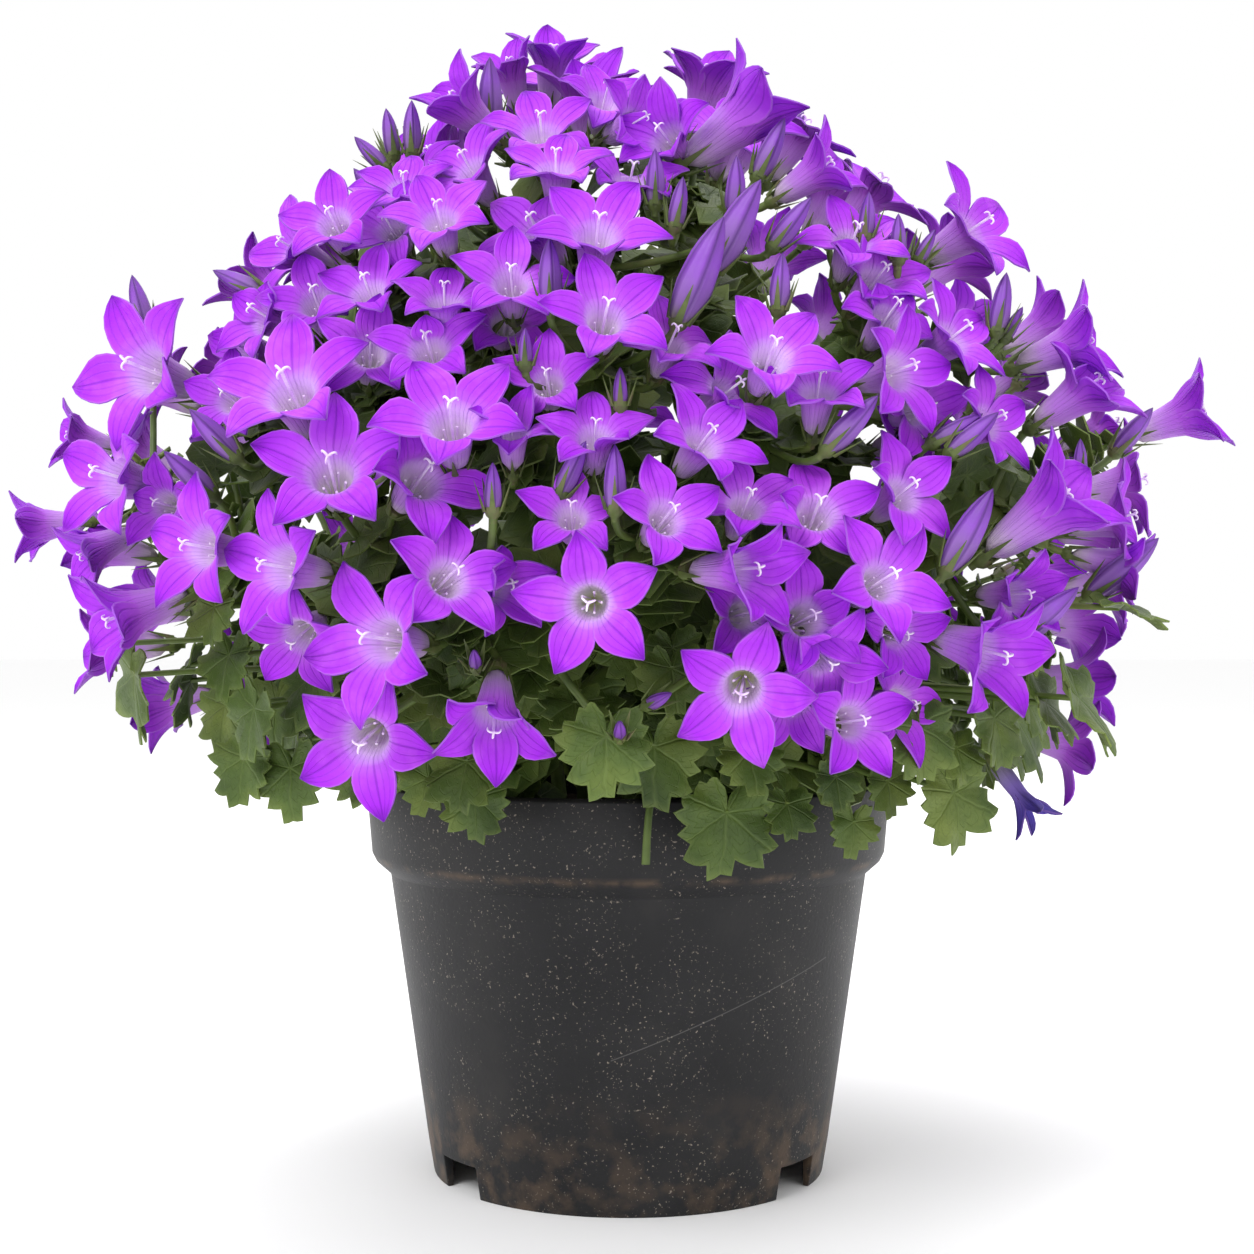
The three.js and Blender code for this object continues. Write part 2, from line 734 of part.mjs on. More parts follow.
function settlePetals(flowers) {
  for (const flower of flowers) {
    flower.petals = [];
    const own = [tubeSolid(flower, 0)];
    for (const k of fifths) {
      const shape = petalShape(flower, k, own);
      flower.petals.push(shape);
      if (!shape) continue;
      own.push(petalSolid(flower, k, shape, gap / 2));
      place(flower, petalSolid(flower, k, shape, gap));
    }
  }
}

// A bud is a spindle on a stalk of its own.
function seenBud([x, y, turn, lift, length]) {
  const middles = [0, 4, -4, 8, 12, -8, 16].map((back) => crownPoint(x, y, back));
  return { ...directions(turn, lift), length, middles };
}

function farBud({ point, turn, random }) {
  const middles = [0, 4, 8, 12, 16].map((step) => onward(point, wayFrom(point, heart), step));
  return { ...directions(turn, 40 + 45 * random()), length: 11 + 8 * random(), middles };
}

function budSolid(b, grow) {
  const base = onward(b.middle, b.out, -b.length / 2);
  const tip = onward(b.middle, b.out, b.length / 2 + 2 * grow);
  const down = b.out.clone().negate();
  const across = ringAcross(down, 4);
  const way = wayFrom(base, b.fork);
  const points = [
    ...ringAt(b.middle, across, b.length * bud.waist + grow),
    ...ringAt(base, across, bud.neck + grow),
    ...ringAt(onward(b.fork, way, 0.4 + grow), turnedRing(across, down, way), stalkEnd + grow),
    tip,
  ];
  const [waist, neck, end] = thirds.map((ring) => numbersOf(0, 4, ring));
  return solidFrom(points, [
    ...coneFaces([...waist].reverse(), 12),
    ...bandFaces(waist, neck),
    ...bandFaces(neck, end),
    ...capFaces(end),
  ]);
}

// A bud's stalk goes to the nearest free fork behind it. A bud without one is left out.
function settleBuds(buds, sprays) {
  for (const b of buds) {
    const tries = b.middles.flatMap((middle) =>
      [...sprays]
        .sort((one, two) => one.fork.distanceTo(middle) - two.fork.distanceTo(middle))
        .slice(0, 3)
        .filter((spray) => spray.fork.clone().sub(middle).dot(b.out) < -6)
        .map((spray) => ({ middle, spray, fork: spray.fork }))
    );
    const found = tries.find((one) => {
      const apart = (owner) => owner !== one.spray && owner.spray !== one.spray;
      return isClear(budSolid({ ...b, ...one }, 0), apart);
    });
    if (!found) continue;
    Object.assign(b, found);
    b.spray.buds.push(b);
    place(b, budSolid(b, gap));
  }
}

// Green stems stand in holes in the soil.
function stemsOf({ count, angle, foot, top, height }) {
  return Array.from({ length: count }, (_, i) => {
    const turn = angle + (360 * i) / count;
    return {
      foot: aroundAxis(turn, foot, soil.top - soil.holeDepth + rootDepth),
      top: aroundAxis(turn, top, height),
      joints: [],
      solids: [],
    };
  });
}

function onStem(stem, height) {
  return stem.foot.clone().lerp(stem.top, (height - stem.foot.z) / (stem.top.z - stem.foot.z));
}

function addTo(stem, solid, thick, height) {
  stem.solids.push(solid);
  stem.joints.push(height);
  place(stem, thick);
}

function prism(from, to, radius, sides) {
  const way = wayFrom(from, to);
  const geometry = new THREE.CylinderGeometry(radius, radius, from.distanceTo(to), sides);
  const up = new THREE.Vector3(0, 1, 0);
  geometry.applyQuaternion(new THREE.Quaternion().setFromUnitVectors(up, way));
  geometry.translate(...from.clone().lerp(to, 0.5).toArray());
  return solidOf(geometry);
}

// A shoot is rooted by its point in a stem, and it may bend once on its way.
function shootSolid({ root, knee, end }, grow) {
  const first = wayFrom(root, knee ?? end);
  const last = wayFrom(knee ?? root, end);
  const wide = shootRadius + 2 * grow;
  const across = ringAcross(first, 3);
  const points = [onward(root, first, -rootDepth - 3 * grow)];
  points.push(...ringAt(onward(root, first, 2.4), across, wide));
  if (knee) {
    const way = first.clone().add(last).normalize();
    points.push(...ringAt(knee, turnedRing(across, first, way), wide));
  }
  points.push(...ringAt(onward(end, last, grow), turnedRing(across, first, last), wide));
  const rings = (knee ? [0, 1, 2] : [0, 1]).map((ring) => numbersOf(1, 3, ring));
  const faces = [...coneFaces([...rings[0]].reverse(), 0), ...capFaces(rings[rings.length - 1])];
  rings.slice(1).forEach((ring, i) => faces.push(...bandFaces(rings[i], ring)));
  return solidFrom(points, faces);
}

// Ways from a stem to a fork's seat, straight or by a knee aside, above or below.
function shootWays(root, seat) {
  const way = wayFrom(root, seat);
  const aside = new THREE.Vector3(-way.y, way.x, 0).normalize();
  return [0, 8, -8, 16, -16].flatMap((swing) =>
    [0, -8, 8].map((rise) => {
      const bent = swing !== 0 || rise !== 0;
      const knee = bent ? onward(root.clone().lerp(seat, 0.6), aside, swing) : null;
      if (knee) knee.z += rise;
      const last = wayFrom(knee ?? root, seat);
      return { root, knee, end: onward(seat, last, -gap) };
    })
  );
}

// Each fork is carried by a shoot from the nearest place on a stem that has room.
function settleShoots(stems, sprays) {
  for (const spray of sprays) {
    const seat = seatOf(spray);
    const knot = forkSolid(spray, 0);
    const starts = [];
    for (const stem of stems) {
      for (let height = stem.top.z - 3; height > lowestShoot; height -= shootStart.spacing) {
        if (stem.joints.some((joint) => Math.abs(joint - height) < shootStart.apart)) continue;
        const root = onStem(stem, height);
        const cost = seat.distanceTo(root) + (seat.z > root.z - 4 ? 0 : shootStart.uphill);
        starts.push({ stem, height, root, cost });
      }
    }
    starts.sort((one, two) => one.cost - two.cost);
    const ways = starts.slice(0, shootStart.tries).flatMap(({ stem, height, root }) =>
      shootWays(root, seat).map((shoot) => ({ ...shoot, stem, height }))
    );
    const found = ways.find((shoot) => {
      if (shoot.end.distanceTo(shoot.root) < shootStart.shortest) return false;
      const solid = shootSolid(shoot, 0);
      const apart = (owner) => owner !== shoot.stem && owner !== spray;
      return solid.intersect(knot).isEmpty() && isClear(solid, apart);
    });
    if (!found) continue;
    addTo(found.stem, shootSolid(found, 0), shootSolid(found, gap), found.height);
  }
}

// A leaf, placed by the root of its blade
function leafAt(middle, turn, lift, roll, length) {
  const { out, up, right } = directions(turn, lift);
  const a = roll * degrees;
  const tip = up.clone().multiplyScalar(Math.cos(a)).addScaledVector(right, Math.sin(a));
  const side = up.clone().multiplyScalar(-Math.sin(a)).addScaledVector(right, Math.cos(a));
  const root = onward(middle, tip, -0.35 * length);
  const flat = new THREE.Vector3(root.x, root.y, 0);
  const knee = flat.clone().setLength(Math.min(72, flat.length() - 5));
  knee.z = Math.max(pot.height + 9, root.z + 3);
  return { root, knee, out, tip, side, length };
}

function seenLeaf([x, y, distance, turn, lift, roll, length], inset, tilt) {
  const r = distance + inset;
  let depth = view.distance - r;
  for (let i = 0; i < 20; i++) {
    const across = seenPoint(x, y, depth).x;
    depth = (depth + view.distance - Math.sqrt(Math.max(0, r * r - across * across))) / 2;
  }
  return leafAt(seenPoint(x, y, depth), turn, lift + tilt, roll, length);
}

function farLeafRows() {
  const random = randomFrom(farLeaves.seed);
  return Array.from({ length: farLeaves.count }, (_, i) => ({
    turn: 95 + (170 * (i + 0.5)) / farLeaves.count,
    reach: 84 + 34 * random(),
    height: 97 + 24 * random(),
    lift: 10 + 25 * random(),
    roll: 165 + 30 * random(),
    length: 9 + 6 * random(),
  }));
}

function farLeaf({ turn, reach, height, lift, roll, length }, inset, tilt) {
  return leafAt(aroundAxis(turn, reach + inset, height), turn, lift + tilt, roll, length);
}

function bladePoint(l, angle, reach, height) {
  const a = angle * degrees;
  const ahead = Math.cos(a) * reach;
  const droop = (-leaf.droop * ahead * ahead) / l.length;
  return l.root
    .clone()
    .addScaledVector(l.tip, ahead)
    .addScaledVector(l.side, Math.sin(a) * reach)
    .addScaledVector(l.out, droop + height);
}

// The blade fans out from its root in wedges, and its stalk runs by a knee to the stem.
function leafPoints(l, grow) {
  const half = leaf.thickness / 2 + grow;
  const points = [bladePoint(l, 0, 0, half)];
  for (const [i, [angle, r]] of leafOutline.entries()) {
    const wave = leaf.wave * l.length * (i % 2 ? -1 : 0.4);
    const reach = r * l.length + 1.2 * grow;
    points.push(bladePoint(l, angle, reach, wave - half), bladePoint(l, angle, reach, wave + half));
  }
  const back = l.out.clone().negate();
  const across = thirds.map((k) => {
    const a = 120 * k * degrees;
    return l.tip.clone().multiplyScalar(Math.cos(a)).addScaledVector(l.side, Math.sin(a));
  });
  const into = wayFrom(l.knee, l.stem);
  const bend = wayFrom(l.root, l.knee).add(into).normalize();
  const wide = leaf.stalk + 2 * grow;
  points.push(...ringAt(onward(l.root, l.out, -half), across, wide));
  points.push(...ringAt(l.knee, turnedRing(across, back, bend), wide));
  points.push(...ringAt(onward(l.stem, into, -2.4), turnedRing(across, back, into), wide));
  points.push(onward(l.stem, into, rootDepth + 3 * grow));
  return points;
}

function leafSolid(l, grow) {
  const count = leafOutline.length;
  const stalk = 1 + 2 * count;
  const stalkCorner = (i) => stalk + Math.floor(((leafOutline[i % count][0] + 60) % 360) / 120);
  const faces = [];
  for (let i = 0; i < count; i++) {
    const a = 1 + 2 * i;
    const b = 1 + 2 * ((i + 1) % count);
    const [one, two] = [stalkCorner(i), stalkCorner(i + 1)];
    faces.push([0, b + 1, a + 1], [a + 1, b + 1, b], [a + 1, b, a], [one, a, b]);
    if (one !== two) faces.push([one, b, two]);
  }
  const rings = thirds.map((ring) => numbersOf(stalk, 3, ring));
  faces.push(...bandFaces(rings[0], rings[1]), ...bandFaces(rings[1], rings[2]));
  faces.push(...coneFaces(rings[2], stalk + 9));
  return solidFrom(leafPoints(l, grow), faces);
}

// A leaf moves in or out or tilts until it and its stalk are clear.
function leafWays(leafOf, stems) {
  return [0, -5, 4, -10, 8, -15, 12, 16, -20].flatMap((inset) =>
    [0, 20, -20, 40].flatMap((tilt) => {
      const l = leafOf(inset, tilt);
      return [...stems]
        .sort((one, two) => one.top.distanceTo(l.root) - two.top.distanceTo(l.root))
        .slice(0, 4)
        .flatMap((owner) => leafHeights.map((height) => ({ ...l, owner, height })));
    })
  );
}

function settleLeaves(stems, leaves) {
  for (const leafOf of leaves) {
    const found = leafWays(leafOf, stems).find((l) => {
      if (l.owner.joints.some((joint) => Math.abs(joint - l.height) < 3)) return false;
      l.stem = onStem(l.owner, l.height);
      return isClear(leafSolid(l, 0), (owner) => owner !== l.owner);
    });
    if (!found) continue;
    addTo(found.owner, leafSolid(found, 0), leafSolid(found, gap), found.height);
  }
}

// The pot is one turned shell. Its foot ring is cut through in four places, and behind each cut
// is a drain hole in the bottom.
function lathe(profile) {
  const outline = profile.map(([r, z]) => new THREE.Vector2(r, z));
  return solidOf(new THREE.LatheGeometry(outline, pot.sides).rotateX(Math.PI / 2));
}

function potShell() {
  const w = pot.wall;
  return lathe([
    [0, pot.seamHeight],
    [pot.foot - w, pot.seamHeight],
    [pot.foot - w, 0],
    [pot.foot, 0],
    [pot.seam, pot.seamHeight],
    [pot.shoulder, pot.shoulderHeight],
    [pot.collar - 1, pot.collarHeight - 2],
    [pot.collar, pot.collarHeight],
    [pot.rim, pot.height - 7],
    [pot.rim, pot.height - 0.8],
    [pot.rim - 0.8, pot.height],
    [pot.rim - w - 0.2, pot.height],
    [pot.collar - w - 0.2, pot.collarHeight + 1.6],
    [pot.shoulder - w, pot.shoulderHeight + 0.6],
    [pot.seam - w, pot.seamHeight + w],
    [0, pot.seamHeight + w],
  ]);
}

function notchCut(angle) {
  const half = notch.width / 2;
  const outline = new THREE.Shape();
  outline.moveTo(-half + notch.slope, -1);
  outline.lineTo(half - notch.slope, -1);
  outline.lineTo(half, notch.height);
  outline.lineTo(-half, notch.height);
  const cut = new THREE.ExtrudeGeometry(outline, { depth: 12, bevelEnabled: false });
  cut.rotateX(Math.PI / 2);
  cut.translate(0, -pot.foot + 8, 0);
  cut.rotateZ(angle * degrees);
  return solidOf(cut);
}

function drainCut(angle) {
  const cut = new THREE.CylinderGeometry(drain.radius, drain.radius, 6, 8);
  cut.rotateX(Math.PI / 2);
  cut.translate(0, -drain.ring, pot.seamHeight + 1);
  cut.rotateZ(angle * degrees);
  return solidOf(cut);
}

function potSolid() {
  const cuts = notch.angles.flatMap((angle) => [notchCut(angle), drainCut(angle)]);
  return potShell().subtract(joined(cuts));
}

function soilSolid(stems) {
  const inner = pot.wall + soil.gap;
  const bottom = pot.seamHeight + inner;
  const body = lathe([
    [0, bottom],
    [pot.seam - inner - 0.1, bottom],
    [pot.shoulder - inner - 0.1, pot.shoulderHeight + 0.4],
    [pot.collar - inner - 0.6, pot.collarHeight + 1.6],
    [pot.collar - inner - 0.4, soil.top - 2],
    [30, soil.top],
    [0, soil.top],
  ]);
  const holes = stems.map((stem) => {
    const up = wayFrom(stem.foot, stem.top);
    const start = onward(stem.foot, up, -0.5);
    return prism(start, onward(stem.foot, up, soil.holeDepth + 8), soil.hole, 6);
  });
  return body.subtract(joined(holes));
}

// Everything is set in place, from the pot and the showiest flowers to the leaves.
const outer = stemsOf(outerStems);
const stems = [...outer, ...stemsOf(innerStems)];
const potBody = potSolid();
place("pot", potBody);
const seen = seenBlooms.map((row) => seenFlower(row));
const far = farPoints(farBlooms).map(farFlower);
const withered = seenFlower(witheredBloom);
const flowers = [withered, ...seen, ...far];
settleFlowers(flowers);
const sprays = [...spraysOf(seen, spraySize.seen), ...spraysOf(far, spraySize.far)];
const witheredSpray = spraysOf([withered], 1)[0];
const carried = [witheredSpray, ...sprays];
settleForks(carried);
settleBuds([...seenBuds.map(seenBud), ...farPoints(farBuds).map(farBud)], sprays);
for (const stem of stems) {
  const trunk = (grow) => prism(stem.foot, stem.top, trunkRadius + 2 * grow, 3);
  stem.solids.push(trunk(0));
  place(stem, trunk(gap));
}
settleShoots(stems, carried);
settlePetals(flowers);
settleLeaves(outer, [
  ...seenLeaves.map((row) => (inset, tilt) => seenLeaf(row, inset, tilt)),
  ...farLeafRows().map((row) => (inset, tilt) => farLeaf(row, inset, tilt)),
]);

function sprayWhole(spray) {
  return joined([
    forkSolid(spray, 0),
    ...spray.flowers.map(flowerSolid),
    ...spray.buds.map((b) => budSolid(b, 0)),
  ]);
}

function thickPieces(spray) {
  return [
    forkSolid(spray, gap),
    ...spray.buds.map((b) => budSolid(b, gap)),
    ...spray.flowers.flatMap((flower) => [
      tubeSolid(flower, gap),
      ...fifths
        .filter((k) => flower.petals[k])
        .map((k) => petalSolid(flower, k, flower.petals[k], gap)),
    ]),
  ];
}

// Where two sprays still touch, the later one gives way by the gap.
function cutClear(spray, earlier) {
  let solid = sprayWhole(spray);
  for (const other of earlier) {
    const touches = boxesMeet(solid.boundingBox(), other.whole.boundingBox());
    if (!touches || solid.intersect(other.whole).isEmpty()) continue;
    for (const piece of thickPieces(other)) solid = solid.subtract(piece);
  }
  return largest(solid);
}

// A solid is sound if its faces still close when its points are rounded.
function isSound(solid) {
  const { vertProperties, triVerts } = solid.getMesh();
  const corners = Array.from(triVerts, (v) =>
    [...vertProperties.slice(3 * v, 3 * v + 3)].map((value) => value.toFixed(3)).join()
  );
  const edges = corners.map((corner, i) => {
    const next = i % 3 === 2 ? i - 2 : i + 1;
    return corner + " " + corners[next];
  });
  return new Set(edges).size === edges.length;
}

// The knot is turned about its seat until all that it joins makes a sound solid.
for (const [i, spray] of carried.entries()) {
  for (const spin of fork.spins) {
    spray.spin = spin;
    spray.whole = cutClear(spray, carried.slice(0, i));
    if (isSound(spray.whole)) break;
  }
}

const group = new THREE.Group();
group.add(meshOf("pot", potBody, colours.pot, 0.55));
group.add(meshOf("soil", soilSolid(stems), colours.soil, 0.95));
for (const [i, stem] of stems.entries()) {
  group.add(meshOf("leafy-stem-" + (i + 1), largest(joined(stem.solids)), colours.leaf, 0.7));
}
group.add(meshOf("withered-bloom", witheredSpray.whole, colours.faded, 0.7));
for (const [i, spray] of sprays.entries()) {
  group.add(meshOf("bloom-spray-" + (i + 1), spray.whole, colours.petal, 0.6));
}
export default group;
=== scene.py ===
import math
import random

import bpy
import numpy as np
from mathutils import Matrix, Quaternion, Vector


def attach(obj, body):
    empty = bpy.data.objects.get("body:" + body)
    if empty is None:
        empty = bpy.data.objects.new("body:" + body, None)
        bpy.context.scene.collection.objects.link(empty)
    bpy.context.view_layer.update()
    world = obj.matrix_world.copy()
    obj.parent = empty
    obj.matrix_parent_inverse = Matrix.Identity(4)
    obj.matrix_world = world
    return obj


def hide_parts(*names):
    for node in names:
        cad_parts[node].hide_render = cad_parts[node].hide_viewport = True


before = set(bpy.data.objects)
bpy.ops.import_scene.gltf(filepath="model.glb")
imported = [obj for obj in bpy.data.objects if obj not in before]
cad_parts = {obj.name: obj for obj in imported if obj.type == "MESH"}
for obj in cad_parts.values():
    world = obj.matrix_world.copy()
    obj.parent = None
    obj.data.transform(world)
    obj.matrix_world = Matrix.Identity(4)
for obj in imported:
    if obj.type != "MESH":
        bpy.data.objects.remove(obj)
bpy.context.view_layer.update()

# Camera, floor and lights. The plant stands on a pale floor, seen level from 52 cm in front, half
# way up the whole, under wide soft lamps.
view_distance = 0.52
view_height = 0.136
lens_units = 2048 / 1254

bpy.ops.object.select_all(action="DESELECT")
bpy.ops.object.camera_add(location=(0, -view_distance, view_height), rotation=(math.pi / 2, 0, 0))
camera = bpy.context.object
camera.name = "camera"
camera.data.sensor_width = 36
camera.data.lens = 36 * lens_units
camera.data.shift_x = -1.3 / 1254
camera.data.clip_start = 0.01
bpy.context.scene.camera = camera

floor_colour = (0.97, 0.97, 0.97, 1)
bpy.ops.mesh.primitive_plane_add(size=12, location=(0, 2, 0))
floor = bpy.context.object
floor.name = "floor"
paper = bpy.data.materials.new("pale paper")
paper.use_nodes = True
paper_shader = paper.node_tree.nodes["Principled BSDF"]
paper_shader.inputs["Base Color"].default_value = floor_colour
paper_shader.inputs["Roughness"].default_value = 0.9
floor.data.materials.append(paper)

for lamp_name, place, size, power in (
    ("key lamp", (-0.75, -1.0, 1.25), 0.7, 13),
    ("fill lamp", (1.0, -1.0, 0.7), 1.2, 2),
    ("top lamp", (0.0, 0.25, 1.4), 1.0, 8),
    ("back lamp", (0.3, 1.2, 0.9), 1.0, 4),
):
    bpy.ops.object.light_add(type="AREA", location=place)
    lamp = bpy.context.object
    lamp.name = lamp_name
    lamp.data.size = size
    lamp.data.energy = power
    towards = Vector((0, 0, 0.14)) - Vector(place)
    lamp.rotation_euler = towards.to_track_quat("-Z", "Y").to_euler()

sky = bpy.data.worlds.new("soft studio")
sky.use_nodes = True
sky.node_tree.nodes["Background"].inputs["Color"].default_value = (1, 1, 1, 1)
sky.node_tree.nodes["Background"].inputs["Strength"].default_value = 1.0
bpy.context.scene.world = sky
bpy.context.scene.view_settings.view_transform = "Standard"

# The nursery pot. One thin shell of black polypropylene, injection moulded, with a rounded lip
# under its rim and a foot ring that is cut through in four places for drainage.
pot_profile = [
    (0, 0.0083), (0.0475, 0.0083), (0.0475, 0), (0.049, 0), (0.0504, 0.0083), (0.0599, 0.0748),
    (0.0635, 0.078), (0.0645, 0.080), (0.0654, 0.0907), (0.0654, 0.0969), (0.0646, 0.0977),
    (0.0637, 0.0977), (0.0628, 0.0816), (0.0584, 0.0754), (0.0489, 0.0098), (0, 0.0098),
]
pot_sides = 96
notch_angles = (-54.5, 54.5, 125.5, -125.5)
notch_size = (0.0146, 0.012, 0.0156)
notch_middle = 0.047
drain_middle = (0.038, 0.0093)


def none_selected():
    """Deselects all, so that an operator acts only on what is added next."""
    if bpy.context.mode != "OBJECT":
        bpy.ops.object.mode_set(mode="OBJECT")
    bpy.ops.object.select_all(action="DESELECT")


def settled(piece, name):
    """Names a piece and puts its place into its mesh, so that its object is at the origin."""
    piece.name = name
    piece.data.name = name
    piece.data.transform(piece.matrix_world)
    piece.matrix_world = Matrix.Identity(4)
    return piece


def finished_with(piece, kind, **settings):
    """Adds a modifier to a piece and applies it."""
    modifier = piece.modifiers.new(kind, kind)
    for key, value in settings.items():
        setattr(modifier, key, value)
    bpy.ops.object.select_all(action="DESELECT")
    piece.select_set(True)
    bpy.context.view_layer.objects.active = piece
    bpy.ops.object.modifier_apply(modifier=modifier.name)


def smoothed(piece, angle):
    """Shades a piece smooth, apart from edges sharper than this angle."""
    bpy.ops.object.select_all(action="DESELECT")
    piece.select_set(True)
    bpy.context.view_layer.objects.active = piece
    bpy.ops.object.shade_smooth_by_angle(angle=math.radians(angle))


def new_material(name, roughness):
    """A new material, with its node tree and its shader."""
    material = bpy.data.materials.new(name)
    material.use_nodes = True
    shader = material.node_tree.nodes["Principled BSDF"]
    shader.inputs["Roughness"].default_value = roughness
    return material, material.node_tree, shader


def node_of(tree, kind, inputs=(), **settings):
    """Adds a node. Each input is a value or another node's output."""
    node = tree.nodes.new(kind)
    for key, value in settings.items():
        setattr(node, key, value)
    for key, value in dict(inputs).items():
        if isinstance(value, bpy.types.NodeSocket):
            tree.links.new(value, node.inputs[key])
        else:
            node.inputs[key].default_value = value
    return node


def sum_of(operation, one, other=0.0, clamp=False):
    """A math node, in the tree that one of its two values comes from."""
    sockets = [value for value in (one, other) if isinstance(value, bpy.types.NodeSocket)]
    node = node_of(sockets[0].id_data, "ShaderNodeMath", {0: one, 1: other}, operation=operation)
    node.use_clamp = clamp
    return node.outputs[0]


def times(one, other, clamp=False):
    return sum_of("MULTIPLY", one, other, clamp)


def plus(one, other, clamp=False):
    return sum_of("ADD", one, other, clamp)


def minus(one, other, clamp=False):
    return sum_of("SUBTRACT", one, other, clamp)


def unsigned(one):
    return sum_of("ABSOLUTE", one)


def ramp_of(factor, stops):
    """A colour from a ramp of places with their colours."""
    node = node_of(factor.id_data, "ShaderNodeValToRGB", {0: factor})
    ramp = node.color_ramp
    while len(ramp.elements) < len(stops):
        ramp.elements.new(0.5)
    for element, (at, colour) in zip(ramp.elements, stops):
        element.position = at
        element.color = (*colour, 1)
    return node.outputs[0]


def mixed(factor, one, other):
    """Two colours mixed by a factor. Sockets 6 and 7 of the node are its colours A and B."""
    tree = factor.id_data
    node = node_of(tree, "ShaderNodeMix", {0: factor}, data_type="RGBA")
    for socket, value in ((node.inputs[6], one), (node.inputs[7], other)):
        if isinstance(value, bpy.types.NodeSocket):
            tree.links.new(value, socket)
        else:
            socket.default_value = (*value, 1)
    return node.outputs[2]


def noise_of(tree, scale, detail=3):
    """Noise on the object's own coordinates."""
    place = node_of(tree, "ShaderNodeTexCoord").outputs["Object"]
    values = {"Vector": place, "Scale": scale, "Detail": detail, "Roughness": 0.55}
    return node_of(tree, "ShaderNodeTexNoise", values).outputs["Fac"]


def group_of(name, inputs, outputs):
    """A node group that several materials use. Gives it with the sockets at its two ends."""
    group = bpy.data.node_groups.new(name, "ShaderNodeTree")
    kinds = {float: "NodeSocketFloat", tuple: "NodeSocketColor"}
    for label, value in inputs.items():
        socket = group.interface.new_socket(name=label, in_out="INPUT", socket_type=kinds[type(value)])
        socket.default_value = value if isinstance(value, float) else (*value, 1)
    for label, kind in outputs.items():
        group.interface.new_socket(name=label, in_out="OUTPUT", socket_type=kind)
    return group, group.nodes.new("NodeGroupInput").outputs, group.nodes.new("NodeGroupOutput").inputs


def placed_group(tree, group, **values):
    """Places a group in a material with its own values, and gives its outputs."""
    node = node_of(tree, "ShaderNodeGroup", node_tree=group)
    for label, value in values.items():
        socket = node.inputs[label.replace("_", " ")]
        if isinstance(value, bpy.types.NodeSocket):
            tree.links.new(value, socket)
        else:
            socket.default_value = (*value, 1) if isinstance(value, tuple) else value
    return node.outputs


# Mottled tone: a cloudy colour from dark over middle to light.
mottled, given, made = group_of(
    "mottled tone",
    {
        "Scale": 90.0,
        "Detail": 3.0,
        "From": 0.3,
        "Middle": 0.55,
        "To": 0.75,
        "Dark": (0, 0, 0),
        "Medium": (0.5, 0.5, 0.5),
        "Light": (1, 1, 1),
    },
    {"Colour": "NodeSocketColor", "Cloud": "NodeSocketFloat"},
)
cloud = noise_of(mottled, given["Scale"], given["Detail"])
first = sum_of("DIVIDE", minus(cloud, given["From"]), minus(given["Middle"], given["From"]), clamp=True)
second = sum_of(
    "DIVIDE", minus(cloud, given["Middle"]), minus(given["To"], given["Middle"]), clamp=True,
)
mottled.links.new(
    mixed(second, mixed(first, given["Dark"], given["Medium"]), given["Light"]), made["Colour"],
)
mottled.links.new(cloud, made["Cloud"])

# Fine grain: a rough or ribbed surface, from a height and a fine noise.
grained, given, made = group_of(
    "fine grain",
    {"Scale": 900.0, "Grain": 1.0, "Height": 0.0, "Strength": 0.3, "Distance": 0.0003},
    {"Normal": "NodeSocketVector"},
)
relief = plus(times(noise_of(grained, given["Scale"], 3), given["Grain"]), given["Height"])
bump = node_of(
    grained,
    "ShaderNodeBump",
    {"Height": relief, "Strength": given["Strength"], "Distance": given["Distance"]},
)
grained.links.new(bump.outputs[0], made["Normal"])


none_selected()
bpy.ops.mesh.primitive_circle_add(
    vertices=pot_sides, radius=pot_profile[1][0], location=(0, 0, pot_profile[1][1]), fill_type="NGON",
)
pot = bpy.context.object
bpy.ops.object.mode_set(mode="EDIT")
bpy.ops.mesh.select_mode(type="FACE")
bpy.ops.mesh.select_all(action="SELECT")
for (one, low), (other, high) in zip(pot_profile[1:-2], pot_profile[2:-1]):
    bpy.ops.mesh.extrude_region_move(TRANSFORM_OT_translate={"value": (0, 0, high - low)})
    bpy.ops.transform.resize(value=(other / one, other / one, 1), center_override=(0, 0, high))
bpy.ops.mesh.select_all(action="SELECT")
bpy.ops.mesh.remove_doubles(threshold=1e-6)
bpy.ops.mesh.normals_make_consistent(inside=False)
bpy.ops.object.mode_set(mode="OBJECT")
settled(pot, "nursery-pot")

cutters = []
for angle in notch_angles:
    turn = math.radians(angle)
    outward = Vector((math.sin(turn), -math.cos(turn), 0))
    none_selected()
    bpy.ops.mesh.primitive_cube_add(size=1, location=outward * notch_middle, rotation=(0, 0, turn))
    cutter = bpy.context.object
    cutter.scale = notch_size
    cutters.append(cutter)
    none_selected()
    bpy.ops.mesh.primitive_cylinder_add(
        vertices=24,
        radius=0.004,
        depth=0.006,
        location=outward * drain_middle[0] + Vector((0, 0, drain_middle[1])),
    )
    cutters.append(bpy.context.object)
bpy.ops.object.select_all(action="DESELECT")
for cutter in cutters:
    cutter.select_set(True)
bpy.context.view_layer.objects.active = cutters[0]
bpy.ops.object.join()
cutter = bpy.context.object
finished_with(pot, "BOOLEAN", operation="DIFFERENCE", solver="EXACT", object=cutter)
bpy.data.objects.remove(cutter)
finished_with(
    pot, "BEVEL", width=0.0005, segments=2, limit_method="ANGLE", angle_limit=math.radians(25),
)
smoothed(pot, 35)

